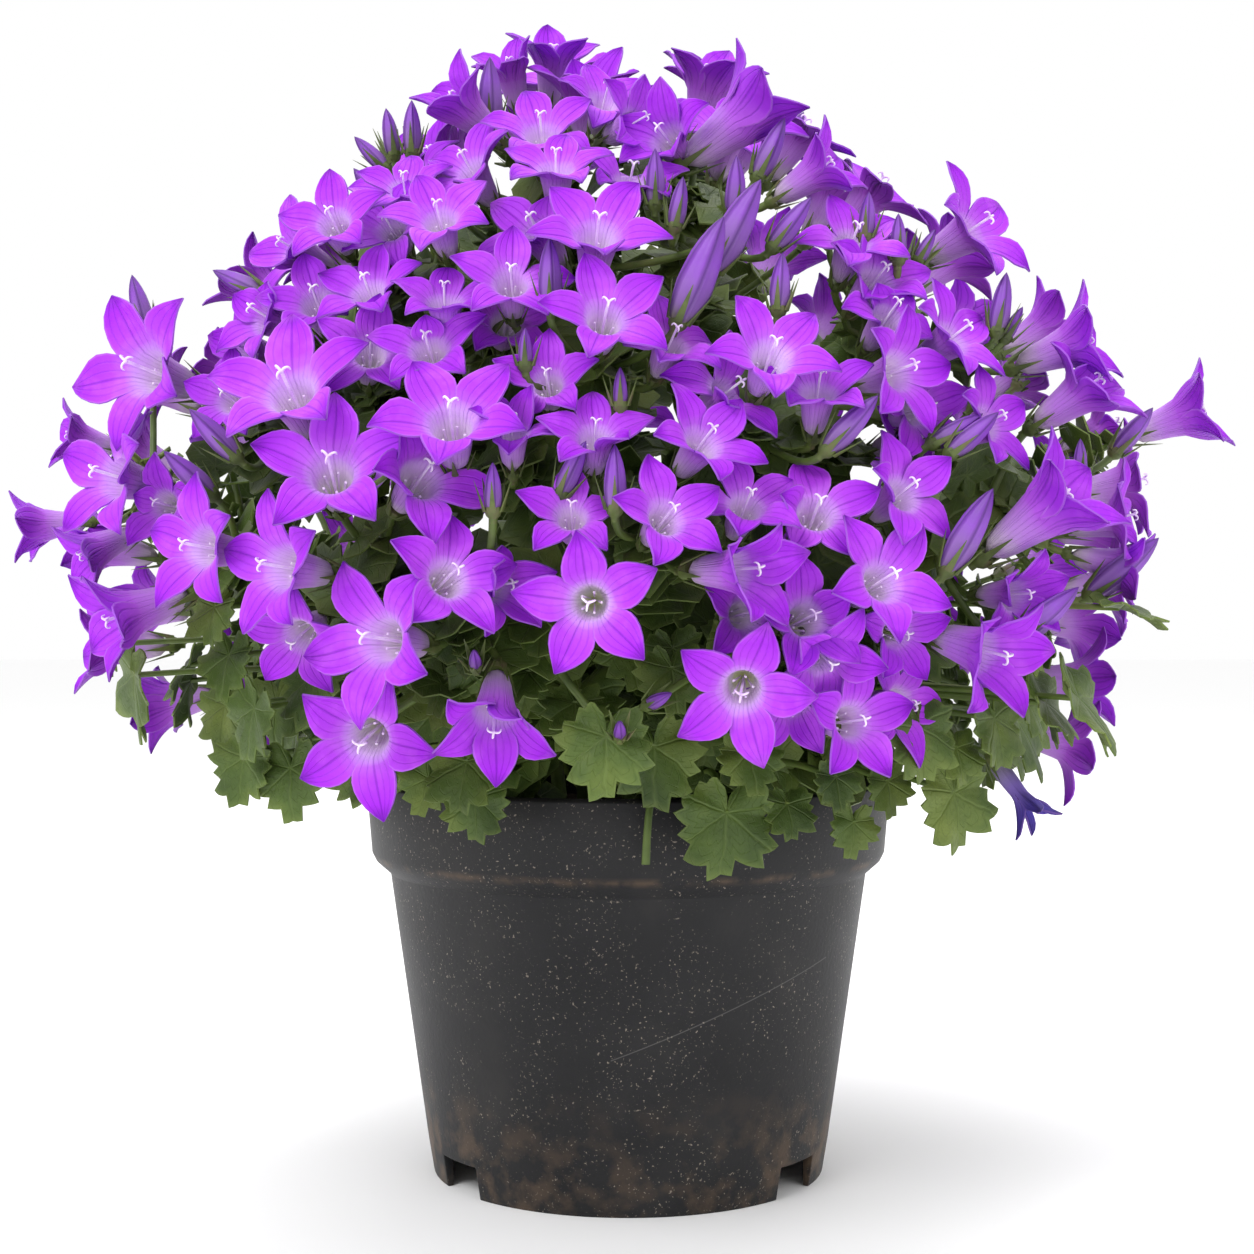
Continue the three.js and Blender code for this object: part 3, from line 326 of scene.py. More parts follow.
plastic, tree, shader = new_material("black plastic", 0.5)
shader.inputs["Specular IOR Level"].default_value = 0.30
place = node_of(tree, "ShaderNodeTexCoord").outputs["Object"]
axes = node_of(tree, "ShaderNodeSeparateXYZ", {0: place})
height = axes.outputs["Z"]
grey, cloudy = placed_group(
    tree,
    mottled,
    Scale=40.0,
    Detail=5.0,
    From=0.32,
    Dark=(0.005, 0.005, 0.006),
    Medium=(0.010, 0.010, 0.011),
    Light=(0.020, 0.019, 0.019),
)
# Pale dust in fine specks, thicker in patches.
specks = noise_of(tree, 1500, 2)
speck_mask = times(minus(specks, 0.645), 14, clamp=True)
patches = noise_of(tree, 60, 2)
speck_mask = times(speck_mask, times(minus(patches, 0.36), 5, clamp=True))
dusty = mixed(times(speck_mask, 0.85), grey, (0.27, 0.23, 0.19))
# Brown soil stains, low on the wall and in a thin line under the lip.
at_sides = times(unsigned(axes.outputs["X"]), 16)
low = times(minus(0.030, height), 45, clamp=True)
low = times(low, plus(times(at_sides, at_sides), 0.35), clamp=True)
lip = minus(1, times(unsigned(minus(height, 0.0788)), 700, clamp=True))
stain = times(minus(noise_of(tree, 130, 5), 0.46), 6, clamp=True)
dirt = times(stain, sum_of("MAXIMUM", times(low, 0.95), times(lip, 0.6)), clamp=True)
soiled = mixed(dirt, dusty, (0.105, 0.068, 0.042))
# One long scratch that climbs to the right across the front.
scratch_way = plus(height, times(axes.outputs["X"], -0.3957))
scratch = minus(1, times(unsigned(minus(scratch_way, 0.0389)), 5000, clamp=True))
reach = times(
    sum_of("GREATER_THAN", axes.outputs["X"], -0.004), sum_of("LESS_THAN", axes.outputs["X"], 0.047),
)
front = sum_of("LESS_THAN", axes.outputs["Y"], 0)
scratch = times(times(scratch, times(reach, front)), 0.35)
tree.links.new(mixed(scratch, soiled, (0.22, 0.21, 0.2)), shader.inputs["Base Color"])
tree.links.new(plus(times(cloudy, 0.25), 0.38), shader.inputs["Roughness"])
tree.links.new(
    placed_group(tree, grained, Height=times(cloudy, 2), Strength=0.25)["Normal"],
    shader.inputs["Normal"],
)
pot.data.materials.clear()
pot.data.materials.append(plastic)
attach(pot, "root")
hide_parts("pot")

# The potting soil. A dark peat mix, poured in and pressed down a little under the rim, with coarse
# crumbs on top. The green stems stand in it.
soil_top = 0.088
soil_shrinks = (0.93, 0.9, 0.88, 0.86, 0.84, 0.8, 0.78, 0.72, 0.65, 0.5, 0.3)
soil_profile = [(0.0485, 0.0102), (0.0580, 0.0752), (0.0621, 0.0816), (0.0623, 0.086)]
none_selected()
bpy.ops.mesh.primitive_circle_add(
    vertices=64, radius=soil_profile[0][0], location=(0, 0, soil_profile[0][1]), fill_type="NGON",
)
soil = bpy.context.object
bpy.ops.object.mode_set(mode="EDIT")
bpy.ops.mesh.select_mode(type="FACE")
bpy.ops.mesh.select_all(action="SELECT")
for (one, low), (other, high) in zip(soil_profile, soil_profile[1:]):
    bpy.ops.mesh.extrude_region_move(TRANSFORM_OT_translate={"value": (0, 0, high - low)})
    bpy.ops.transform.resize(value=(other / one, other / one, 1), center_override=(0, 0, high))
for shrink in soil_shrinks:
    bpy.ops.mesh.extrude_region_move(TRANSFORM_OT_translate={"value": (0, 0, 0)})
    bpy.ops.transform.resize(value=(shrink, shrink, 1), center_override=(0, 0, 0))
bpy.ops.mesh.select_all(action="SELECT")
bpy.ops.mesh.normals_make_consistent(inside=False)
bpy.ops.object.mode_set(mode="OBJECT")
settled(soil, "potting-soil")
crumble = random.Random(3)
for vertex in soil.data.vertices:
    if vertex.co.z > soil_profile[-1][1] - 0.0005:
        vertex.co.z = soil_top - 0.0015 + 0.0028 * crumble.random()
smoothed(soil, 60)
peat, tree, shader = new_material("peat", 0.95)
crumbs, grains = placed_group(
    tree,
    mottled,
    Scale=420.0,
    Detail=6.0,
    Dark=(0.010, 0.006, 0.004),
    Medium=(0.030, 0.018, 0.011),
    Light=(0.075, 0.048, 0.028),
)
tree.links.new(crumbs, shader.inputs["Base Color"])
tree.links.new(
    placed_group(tree, grained, Grain=0.2, Height=grains, Strength=0.9, Distance=0.0012)["Normal"],
    shader.inputs["Normal"],
)
soil.data.materials.append(peat)
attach(soil, "root")
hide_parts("soil")

# Where everything grows. A spray is a forked stalk with its flowers and buds, carried by a side
# shoot of a green stem. Places are in millimetres, angles in degrees.
flower_tube = 0.0125

# A stem's foot, top and leaves. A leaf: root, turn, lift, roll, length, its stalk's knee, joint.
stem_rows = [
    [[7.9, -37.2, 72.6], [12.5, -58.7, 148], [
        [5.5, -82.1, 110.3, 5, 20, 180, 14.5, 4.8, -71.8, 113.3, 9.1, -43, 93],
        [21.2, -78.3, 95.9, 10, 10, 186, 15.5, 18.8, -69.5, 106.7, 9.4, -44.1, 97],
        [34.5, -74.9, 97.4, 20, 30, 180, 9, 30.1, -65.4, 106.7, 9.6, -45.3, 101],
        [44.6, -79.4, 103.6, 25, 20, 180, 8, 35.3, -62.8, 106.7, 9.9, -46.4, 105],
        [-11.2, -88.6, 119.8, 0, 50, 180, 10, -9, -71.4, 122.8, 10.1, -47.6, 109],
        [9.2, -92.4, 131.5, 5, 20, 170, 10, 7.2, -71.6, 134.5, 10.4, -48.7, 113],
        [25.5, -84.5, 109.1, 12, 30, 175, 10, 20.8, -68.9, 112.1, 10.6, -49.8, 117],
    ]],
    [[31.9, -20.7, 72.6], [50.3, -32.7, 148], [
        [49.8, -67.1, 92.8, 25, 10, 188, 8.5, 42.9, -57.8, 106.7, 36.9, -23.9, 93],
        [57, -68.6, 101.9, 30, 15, 175, 8.5, 46, -55.4, 106.7, 37.8, -24.6, 97],
        [70.6, -75.1, 100, 30, 10, 172, 14, 49.3, -52.5, 106.7, 38.8, -25.2, 101],
        [70.3, -80.3, 109.9, 35, 25, 180, 9, 47.4, -54.2, 112.9, 39.8, -25.8, 105],
        [93.6, -93.7, 121.1, 60, 35, 140, 16, 50.9, -50.9, 124.1, 40.8, -26.5, 109],
        [88.2, -86, 119.9, 55, 35, 122, 13, 51.6, -50.3, 122.9, 41.8, -27.1, 113],
        [102.8, -90.8, 140, 60, 75, 145, 12, 54, -47.7, 143, 42.7, -27.8, 117],
        [88.3, -67.2, 118.9, 50, 20, 150, 9, 57.3, -43.6, 121.9, 44.7, -29, 125],
        [56.7, -90.2, 133.9, 30, 25, 170, 10, 38.3, -61, 136.9, 45.7, -29.7, 129],
    ]],
    [[37.2, 7.9, 72.6], [58.7, 12.5, 148], [
        [97.8, 17, 114.2, 100, 25, 183, 14.1, 70.9, 12.3, 117.2, 43, 9.1, 93],
        [95, 33.3, 102.7, 109, 23, 183, 11.7, 68, 23.8, 106.7, 44.1, 9.4, 97],
        [82.1, 45.2, 121.5, 119, 20, 185, 13.1, 63.1, 34.8, 124.5, 45.3, 9.6, 101],
    ]],
    [[20.7, 31.9, 72.6], [32.7, 50.3, 148], [
        [69.7, 54.3, 105.1, 128, 17, 177, 11.3, 56.8, 44.2, 108.1, 23.9, 36.9, 93],
        [68.9, 75.4, 103.7, 138, 25, 182, 11.5, 48.6, 53.2, 106.7, 24.6, 37.8, 97],
        [57.3, 87.2, 119.2, 147, 49, 175, 12.7, 39.5, 60.2, 122.2, 25.2, 38.8, 101],
        [35.5, 83.6, 101.6, 156, 29, 194, 10.8, 28.2, 66.3, 106.7, 25.8, 39.8, 105],
        [21.3, 85, 119, 166, 19, 182, 12.5, 17.5, 69.8, 122, 26.5, 40.8, 109],
    ]],
    [[-7.9, 37.2, 72.6], [-12.5, 58.7, 148], [
        [8.5, 110.4, 103.8, 175, 31, 190, 11.3, 5.5, 71.8, 106.8, -9.1, 43, 93],
        [-6.8, 82.4, 102.5, 185, 31, 180, 12.2, -5.9, 71.8, 106.7, -9.4, 44.1, 97],
        [-21.4, 88.6, 112.9, 194, 28, 168, 12.9, -16.9, 70, 115.9, -9.6, 45.3, 101],
        [-34.5, 76.4, 111.2, 204, 26, 195, 11.6, -29.6, 65.6, 114.2, -9.9, 46.4, 105],
        [-54.5, 82.8, 109.4, 213, 11, 187, 11.5, -39.6, 60.2, 112.4, -10.1, 47.6, 109],
    ]],
    [[-31.9, 20.7, 72.6], [-50.3, 32.7, 148], [
        [-72.6, 79.8, 108.7, 223, 24, 175, 14.1, -48.4, 53.3, 111.7, -36.9, 23.9, 93],
        [-69.4, 54.1, 102.9, 232, 26, 184, 9.8, -56.8, 44.2, 106.7, -37.8, 24.6, 97],
        [-83, 44.4, 109.7, 241, 33, 191, 12.8, -63.5, 33.9, 112.7, -38.8, 25.2, 101],
        [-91, 31.8, 122.5, 251, 25, 178, 10.8, -68, 23.7, 125.5, -39.8, 25.8, 105],
    ]],
    [[-37.2, -7.9, 72.6], [-58.7, -12.5, 148], [
        [-108.9, -67.5, 125.4, -60, 0, 200, 17, -61.2, -37.9, 128.4, -43, -9.1, 93],
        [-91.1, -56.1, 118.2, -35, 15, 185, 11, -61.3, -37.8, 121.2, -44.1, -9.4, 97],
        [-85.4, -64.2, 106.9, -30, 15, 185, 12, -57.5, -43.3, 109.9, -45.3, -9.6, 101],
        [-74.4, -68.5, 104.8, -25, 15, 172, 12.5, -53, -48.8, 107.8, -46.4, -9.9, 105],
        [-118.5, -47.2, 132.1, -60, 10, 200, 8, -66.9, -26.6, 135.1, -47.6, -10.1, 109],
        [-82.5, -38.7, 118.6, -25, 20, 175, 12, -65.2, -30.6, 121.6, -48.7, -10.4, 113],
        [-97.9, 17.2, 100.6, 260, 32, 174, 11.4, -70.9, 12.5, 106.7, -49.8, -10.6, 117],
    ]],
    [[-20.7, -31.9, 72.6], [-32.7, -50.3, 148], [
        [-88.3, -66.9, 129.7, -35, 20, 180, 11, -57.4, -43.5, 132.7, -23.9, -36.9, 93],
        [-43.8, -70.5, 102.8, -12, 15, 195, 9, -38, -61.1, 106.7, -24.6, -37.8, 97],
        [-33.2, -74.3, 98.8, -10, 10, 180, 10.5, -29.4, -65.7, 106.7, -25.2, -38.8, 101],
        [-20.9, -90.2, 126.4, -5, 50, 200, 9, -16.3, -70.1, 129.4, -25.8, -39.8, 105],
        [-38.8, -85.5, 125.5, -10, 35, 190, 10, -29.8, -65.6, 128.5, -26.5, -40.8, 109],
        [-90.8, -70.2, 140.4, -35, 20, 185, 10, -56.9, -44.1, 143.4, -27.1, -41.8, 113],
        [-31.1, -78.4, 110.1, -10, 30, 190, 9, -26.5, -66.9, 113.1, -27.8, -42.7, 117],
    ]],
    [[9.4, -12.9, 72.6], [18.8, -25.9, 205], [
    ]],
    [[15.2, 4.9, 72.6], [30.4, 9.9, 205], [
    ]],
    [[0, 16, 72.6], [0, 32, 205], [
    ]],
    [[-15.2, 4.9, 72.6], [-30.4, 9.9, 205], [
    ]],
    [[-9.4, -12.9, 72.6], [-18.8, -25.9, 205], [
    ]],
]
# A spray's fork, its stem's number, its shoot (root, knee or none, end), its flowers (throat, turn,
# lift, roll, size, form, a letter for the shape of each petal) and buds (middle, turn, lift, length).
withered_row = [
    [73.4, -45.1, 108],
    2,
    [[43.5, -28.2, 120], None, [70.3, -43.2, 108.8]],
    [[88.8, -53.2, 98.4, 70, -52, 0, 0.74, "withered", "adadf"]],
    [],
]
spray_rows = [
    [[-80.9, -61, 177.8], 8, [[-32.2, -49.6, 145], None, [-78.2, -59.2, 176]], [
        [-104.8, -71.4, 191.9, -35, 10, -28, 1.12, "star", "aaaaa"],
        [-84.8, -81.6, 184.6, -20, 15, 0, 0.68, "star", "aaaaa"],
        [-81.7, -77.5, 195.9, -40, 5, 0, 0.68, "star", "b-aaa"],
        [-111.2, -73.6, 168.5, -45, 10, 0, 1, "star", "faaaa"],
    ], [[-85.7, -95.4, 175.8, -70, 45, 15]]],
    [[-117.7, -14.8, 166.4], 7, [[-57.8, -12.3, 145], None, [-114.2, -14.4, 165.1]], [
        [-147.3, 0, 161.9, -80, -5, 10, 0.8, "bell", "ababb"],
        [-128.1, -37, 180.1, -70, 15, 0, 0.68, "bell", "ababb"],
    ], [[-123.9, -0.1, 217.7, -80, 75, 16]]],
    [[-86.9, -64.4, 150.8], 8, [[-31.4, -48.4, 140], None, [-83.9, -62.4, 150]], [
        [-106, -79.9, 139.2, -60, -20, 30, 1, "bell", "ababb"],
        [-100.7, -74.9, 162.5, -20, 5, 0, 0.68, "star", "caaas"],
        [-87.3, -97.7, 152.3, -40, 5, -4, 0.9, "star", "aaaaa"],
        [-118.7, -59.7, 153.8, -60, -25, 20, 0.76, "bell", "ababb"],
    ], [[-92.2, -89, 168, -60, 40, 15]]],
    [[-51.8, -88, 148.7], 8, [[-30.6, -47.1, 135], None, [-50, -84.9, 147.9]], [
        [-68.9, -108.7, 147.8, -45, 5, -5, 0.95, "star", "aaaaa"],
        [-59, -112.2, 166.3, 0, 28, 0, 1, "star", "aaaaa"],
        [-67.6, -95.7, 134.3, -20, -25, 10, 0.76, "star", "aaaaa"],
        [-41.4, -112.6, 165.2, 30, 25, -30, 0.95, "star", "lfaae"],
    ], []],
    [[-53.3, -78.5, 183.7], 13, [[-17.2, -23.6, 182], None, [-51.5, -75.8, 181.9]], [
        [-68.3, -103.9, 183.1, -15, 35, -10, 1.08, "star", "aaaaa"],
        [-53.1, -98.6, 192, 10, 30, 10, 0.76, "star", "caada"],
        [-65.8, -85.9, 204.3, -10, 35, -20, 0.78, "star", "abhaa"],
        [-53.9, -92.4, 205.3, -20, 45, 0, 0.76, "star", "aaaaa"],
    ], []],
    [[-25.1, -94.6, 170.3], 1, [[12.3, -57.8, 145], None, [-24.1, -91.4, 168.7]], [
        [-34.6, -118.3, 175.6, 0, 38, -30, 0.98, "star", "aaaaa"],
        [-23, -115.1, 174, 0, 58, 36, 0.66, "bell", "cffab"],
        [-40.2, -104.7, 191.8, -10, 35, -10, 0.78, "star", "-aaaa"],
        [-16, -111.6, 184.3, -5, 30, 0, 0.68, "star", "aacua"],
    ], []],
    [[-31.6, -95.5, 135.1], 8, [[-29.8, -45.9, 130], None, [-30.6, -92, 134.7]], [
        [-35.3, -120.7, 145.2, 30, 20, 10, 0.85, "star", "daaaa"],
        [-26.5, -112.5, 144.4, 50, 0, 0, 0.76, "bell", "rcada"],
        [-48.2, -114.5, 133.4, -35, 5, -30, 1.02, "star", "aaaaa"],
        [-26.5, -112.8, 119.1, 0, -45, 36, 0.9, "bell", "ababb"],
    ], [[-26.3, -122.1, 162.6, 0, 80, 11], [-30.4, -113.8, 129.5, 0, 30, 8]]],
    [[-20.5, -93.4, 135.4], 1, [[11.7, -55, 135], None, [-19.5, -89.8, 135.1]], [
        [-53.3, -100.3, 113.3, -10, -15, 25, 0.98, "star", "aaaaa"],
        [-7.4, -124, 140.6, -3, -4, -9, 0.88, "star", "aaaaa"],
        [-11, -120.4, 157.3, 0, 35, 0, 0.68, "star", "aiaaa"],
    ], [[-1.7, -112.8, 115.5, 0, 30, 8]]],
    [[24.4, -91.9, 132.5], 1, [[11.4, -53.6, 130], None, [23.4, -88.3, 132.2]], [
        [22.4, -116.3, 123.6, -5, -12, 20, 0.9, "star", "aaaaa"],
        [35.1, -113.5, 137.4, 20, 10, -10, 0.8, "star", "alaaa"],
        [22.9, -108.1, 138.4, 25, 5, 10, 0.68, "star", "aabaa"],
        [38.6, -112.3, 130.4, 20, -25, 20, 0.8, "star", "acfae"],
    ], [[5.9, -112.8, 121.5, 40, 20, 9]]],
    [[37.7, -83.1, 124.6], 1, [[11.1, -52.1, 125], None, [36.1, -79.7, 124.6]], [
        [44.8, -106.5, 116.8, 30, 5, 5, 0.8, "star", "aaaaa"],
        [55.3, -95.5, 119.8, 50, 0, 20, 0.8, "star", "aaaib"],
        [33.5, -101.1, 121.1, 0, -30, 0, 0.74, "star", "cdeaa"],
        [54.3, -103.3, 135, 30, -10, 0, 0.7, "star", "aaaca"],
    ], []],
    [[42.9, -91.9, 144.5], 1, [[12, -56.4, 140], None, [41.2, -88.6, 143.8]], [
        [49.6, -116.6, 144.7, 30, 18, -30, 0.86, "star", "aaaaa"],
        [37, -114.4, 158.2, 10, 30, 0, 0.84, "star", "fakr-"],
        [54.6, -108.8, 162.5, 35, 25, -10, 0.8, "star", "aedae"],
        [71.5, -103.4, 131.3, 50, -15, 10, 1, "bell", "ababb"],
    ], [[68.2, -109.1, 155.1, 70, 60, 20]]],
    [[4.1, -102.9, 154.7], 1, [[10.8, -50.7, 120], None, [4, -99.3, 153.5]], [
        [7.1, -124.7, 156.7, 25, 25, -8, 0.76, "star", "aaaaa"],
        [20.7, -123.5, 147, 50, 0, 0, 0.9, "bell", "cabab"],
        [14.4, -118.5, 171.7, 35, 35, -20, 0.78, "star", "acaaa"],
        [-6.5, -118.8, 172.6, 5, 45, 0, 0.72, "star", "aaeaa"],
    ], [[-2.6, -124.1, 164.4, 0, 85, 14], [-11, -119.5, 166.7, 60, 60, 13]]],
    [[-7.2, -91.9, 189.2], 13, [[-17.5, -24.1, 187], None, [-7, -88.8, 187.3]], [
        [-4.6, -115.8, 196.6, 10, 30, -15, 0.84, "star", "aaaaa"],
        [8.4, -109.6, 192.5, 25, 40, 0, 0.72, "star", "afaan"],
        [-6.3, -106.9, 214.1, 8, 40, -35, 0.92, "star", "aaaea"],
        [-23.5, -106.4, 205.1, 0, 35, 0, 0.76, "star", "afaaa"],
    ], [[14.3, -110.3, 207, 70, 65, 24], [
        21.7, -103.3, 217.2, 70, 60, 22,
    ], [
        -15.7, -110.4, 206.4, 0, 80, 15,
    ], [-20.5, -112.7, 191.1, 0, 85, 9], [-1.6, -116.7, 182.7, 0, 85, 9]]],
    [[27.6, -94.1, 174.9], 9, [[16.8, -23.2, 177], None, [26.7, -90.9, 173.3]], [
        [27.9, -116.1, 188.7, 15, 35, -25, 0.84, "star", "aaaaa"],
        [37.8, -112.1, 182.2, 5, 52, 0, 0.76, "star", "acaaa"],
        [19.4, -109.8, 182.5, 45, 25, 10, 0.8, "star", "cua-g"],
        [53.7, -107.3, 187.4, 45, 10, 10, 0.82, "star", "aaaaa"],
    ], [[30.5, -108.9, 204.7, 60, 85, 13], [43.8, -115.8, 175.9, 70, 45, 16]]],
    [[39.2, -84.7, 170], 2, [[49.6, -32.2, 145], None, [38, -81.6, 168.4]], [
        [23, -117, 159.4, 20, 40, -10, 0.72, "star", "aaaad"],
        [59.1, -98.1, 180.7, 40, 5, 0, 0.76, "star", "acabu"],
        [58.2, -89.5, 175.3, 40, 10, 10, 0.74, "star", "af-aa"],
        [53.1, -100.9, 199.2, 30, 35, -20, 0.76, "star", "--iub"],
    ], []],
    [[-50, -67.1, 209.1], 13, [[-18.6, -25.6, 202], None, [-48.3, -64.9, 206.6]], [
        [-62.2, -86, 221.2, -15, 30, -10, 0.74, "star", "aaaaa"],
        [-71.6, -75.8, 217.3, -50, 20, -20, 0.8, "star", "aheba"],
        [-50.7, -80.5, 221.2, -20, 30, 10, 0.7, "star", "aadaa"],
        [-48, -79.8, 229.5, -5, 50, 0, 0.68, "star", "acaba"],
    ], [[-47.9, -66.5, 246.1, 0, 85, 13], [-53, -64.1, 245.5, -60, 80, 12], [
        -56.3, -70.2, 239.7, -80, 45, 11,
    ]]],
    [[-29.6, -79.8, 199.3], 13, [[-18.2, -25.1, 197], None, [-28.6, -77, 197.1]], [
        [-38.8, -97.5, 219.6, -10, 40, -30, 0.76, "star", "aaaaa"],
        [-37.3, -103.3, 201.5, 0, 58, 0, 0.72, "star", "aaaaa"],
        [-25.5, -96.1, 198.5, 10, 30, 0, 0.68, "star", "aaaaj"],
        [-33.5, -81.4, 233.5, -35, 40, 0, 0.78, "star", "acadb"],
    ], []],
    [[-10.9, -74.9, 213.7], 13, [[-17.9, -24.6, 192], None, [-10.6, -72.4, 211]], [
        [-15, -94, 230.6, 0, 55, 10, 0.74, "star", "aaaaa"],
        [-18.2, -97, 217, -30, 35, 10, 0.84, "star", "qf-aa"],
        [0.4, -85.9, 229.7, 15, 50, 10, 0.76, "star", "gaaac"],
        [-18.6, -79.4, 241.8, -5, 45, -20, 0.8, "star", "aadba"],
    ], [[22.1, -96.5, 226.4, 10, 80, 14]]],
    [[-18.4, -42, 240.8], 9, [[18.6, -25.6, 202], None, [-17.6, -40.8, 237.4]], [
        [-18.3, -28.6, 270.1, 15, 65, 0, 0.8, "bell", "ababb"],
        [-27.4, -38.1, 265.2, -20, 58, 0, 0.7, "bell", "aeabb"],
        [-35.5, -66.9, 249.9, -60, 35, 0, 0.85, "bell", "abaeb"],
        [-5.3, -69.4, 251.3, 20, 45, -10, 0.7, "star", "aakba"],
    ], [[-31.1, -59.1, 255.7, 0, 85, 17]]],
    [[11.5, -69, 225.9], 9, [[18.2, -25.1, 197], None, [11.2, -66.8, 222.9]], [
        [0.8, -76.4, 244.7, 50, 15, 20, 0.7, "star", "aaaaa"],
        [23, -78.7, 244.2, 78, 35, -10, 1.1, "bell", "aaaea"],
        [8.6, -78.7, 240.9, -30, 20, 0, 0.8, "bell", "ababd"],
        [38.8, -87.7, 231.4, 72, 30, 0, 0.76, "bell", "ababb"],
    ], [[
        30.1, -84.4, 237.4, 80, 65, 15,
    ], [
        33.2, -99.9, 218.5, 70, 50, 14,
    ], [5.6, -92.7, 229.3, 0, 85, 13], [10.3, -97.1, 223.1, 80, 80, 12]]],
    [[54.3, -73.8, 197.4], 9, [[17.9, -24.6, 192], None, [52.5, -71.4, 195.3]], [
        [73.1, -79.2, 220.8, 55, 25, -10, 0.92, "star", "aaaaa"],
        [51.3, -93.8, 207.8, 30, 30, 10, 0.78, "star", "aaeca"],
        [46.5, -94.4, 215.4, 20, 45, -10, 0.76, "star", "aaaad"],
        [93.7, -80.5, 195.9, 75, 20, 0, 0.9, "bell", "ababb"],
    ], [[
        49.9, -91.9, 221.5, 60, 85, 11,
    ], [
        56.3, -92.6, 216.8, 0, 85, 11,
    ], [78.6, -88, 203.9, 70, 80, 14], [
        62.8, -86.4, 216.2, 70, 60, 9,
    ], [81.5, -85.1, 200.1, 80, 60, 9]]],
    [[77.9, -73, 161.8], 2, [[48.4, -31.4, 140], None, [75.4, -70.5, 160.6]], [
        [95.8, -83.9, 185.4, 60, 32, 20, 0.92, "bell", "-dabd"],
        [74, -95.3, 177.9, 50, 20, 0, 0.76, "star", "aaaaa"],
        [103.9, -80.3, 159, 70, 10, 10, 0.78, "star", "aasaa"],
        [104.2, -78.9, 149.4, 80, -15, 20, 0.72, "bell", "ababb"],
    ], [[
        110.4, -71.2, 178.7, 80, 50, 14,
    ], [105.6, -82.1, 148.6, 75, 40, 20], [95.8, -85.5, 171, 0, 85, 10]]],
    [[117.5, 3.3, 179.7], 3, [[57.8, 12.3, 145], None, [114.1, 3.3, 178.1]], [
        [139.6, 0, 189.1, 72, 20, 10, 1, "bell", "ababb"],
    ], []],
    [[62.2, -81.9, 157.6], 2, [[47.1, -30.6, 135], None, [60.1, -79, 156.5]], [
        [84.6, -99.2, 159, 62, 35, 0, 1.12, "bell", "aaaaa"],
        [79.6, -95.1, 142.6, 40, 0, 0, 0.76, "bell", "abanb"],
        [66.5, -96.6, 195.3, 55, 30, 0, 0.82, "star", "aaaaa"],
    ], [[86.1, -96.9, 138.5, 75, 40, 18], [
        69.6, -105.5, 174.9, 75, 40, 14,
    ], [66.5, -103.2, 176.1, 80, 30, 13]]],
    [[-63.6, -70.5, 191.5], 13, [[-16.8, -23.2, 177], None, [-61.5, -68.2, 189.5]], [
        [-76.7, -84.3, 201.7, -45, 20, 10, 0.78, "star", "--aal"],
    ], [[-83.4, -80.3, 209.9, -90, 25, 13]]],
    [[12.9, -5.4, 240.8], 10, [[30.1, 9.8, 202], None, [12.7, -5.1, 237.1]], [
        [20.3, 0, 271.1, 92, 68, 22, 0.87, "star", "aaaaa"],
        [29.9, 19, 261.6, 114, 60, 59, 0.99, "star", "aaaaa"],
        [18.7, -24.3, 265.4, 42, 68, 58, 0.94, "bell", "ababb"],
        [40.9, -14.9, 256, 72, 55, 34, 0.93, "star", "aaaaa"],
        [2.5, 28.4, 267.3, 178, 65, 52, 1.02, "star", "aaaaa"],
        [-17.1, -15.6, 269.2, -34, 60, 60, 0.95, "star", "a-aaa"],
        [22.8, -43.4, 250.3, 18, 51, 29, 0.92, "star", "aaaaa"],
    ], [[40.2, 0, 258.9, 90, 61, 18.2]]],
    [[-29.3, 0.5, 231.3], 12, [[-30.1, 9.8, 202], None, [-28.4, 0.6, 227.7]], [
        [-32.5, 5.8, 263.5, -85, 58, 36, 0.93, "star", "aaaaa"],
        [-44.1, -16.1, 254.1, -72, 55, 34, 0.85, "star", "aaaaa"],
        [-18.3, 35.2, 257.9, -161, 59, 42, 0.98, "bell", "ababc"],
        [-44.8, 31.5, 248.4, -129, 53, 57, 0.96, "bell", "ababb"],
        [-63.5, 17.1, 239, -104, 54, 31, 0.89, "star", "aaaaa"],
        [-9.9, -36.8, 259.7, 0, 61, 44, 0.97, "bell", "ababl"],
        [-45.3, -33.6, 244.6, -45, 53, 6, 0.87, "bell", "cabab"],
    ], []],
    [[15.5, 42.9, 217.7], 11, [[0, 31.6, 202], None, [14.8, 41.4, 214.4]], [
        [19.2, 43, 252.2, 142, 53, 8, 1, "bell", "ababb"],
        [-6.6, 59.5, 242.8, -165, 55, 31, 0.89, "bell", "ababb"],
        [38.8, 54, 237.1, 156, 46, 41, 1.02, "bell", "ababb"],
        [52.3, 19.6, 246.5, 120, 54, 30, 0.93, "star", "aaaaa"],
        [11.6, 76.2, 227.7, -176, 46, 56, 0.99, "bell", "aeabb"],
        [57, 66.5, 222, 133, 42, 60, 0.92, "star", "aaaaa"],
        [-35.2, 61.5, 233.3, -160, 48, 50, 0.9, "star", "aaaaa"],
    ], [[4.6, 84.2, 222.3, 177, 73, 16.3]]],
    [[63.3, -2.8, 210], 10, [[29.5, 9.6, 197], None, [60.9, -2.6, 207.2]], [
        [58.6, -19.3, 240.9, 68, 48, 34, 0.99, "star", "aaaab"],
        [78.3, -13.5, 225.8, 95, 40, 20, 0.93, "star", "aaaaa"],
        [73.8, 25.4, 231.4, 105, 49, 21, 0.84, "star", "aaaaa"],
        [102.7, -4.8, 210.7, 95, 32, 8, 0.84, "bell", "ababb"],
    ], []],
    [[-58.5, -15, 210.1], 12, [[-29.5, 9.6, 197], None, [-56.4, -14.3, 207.3]], [
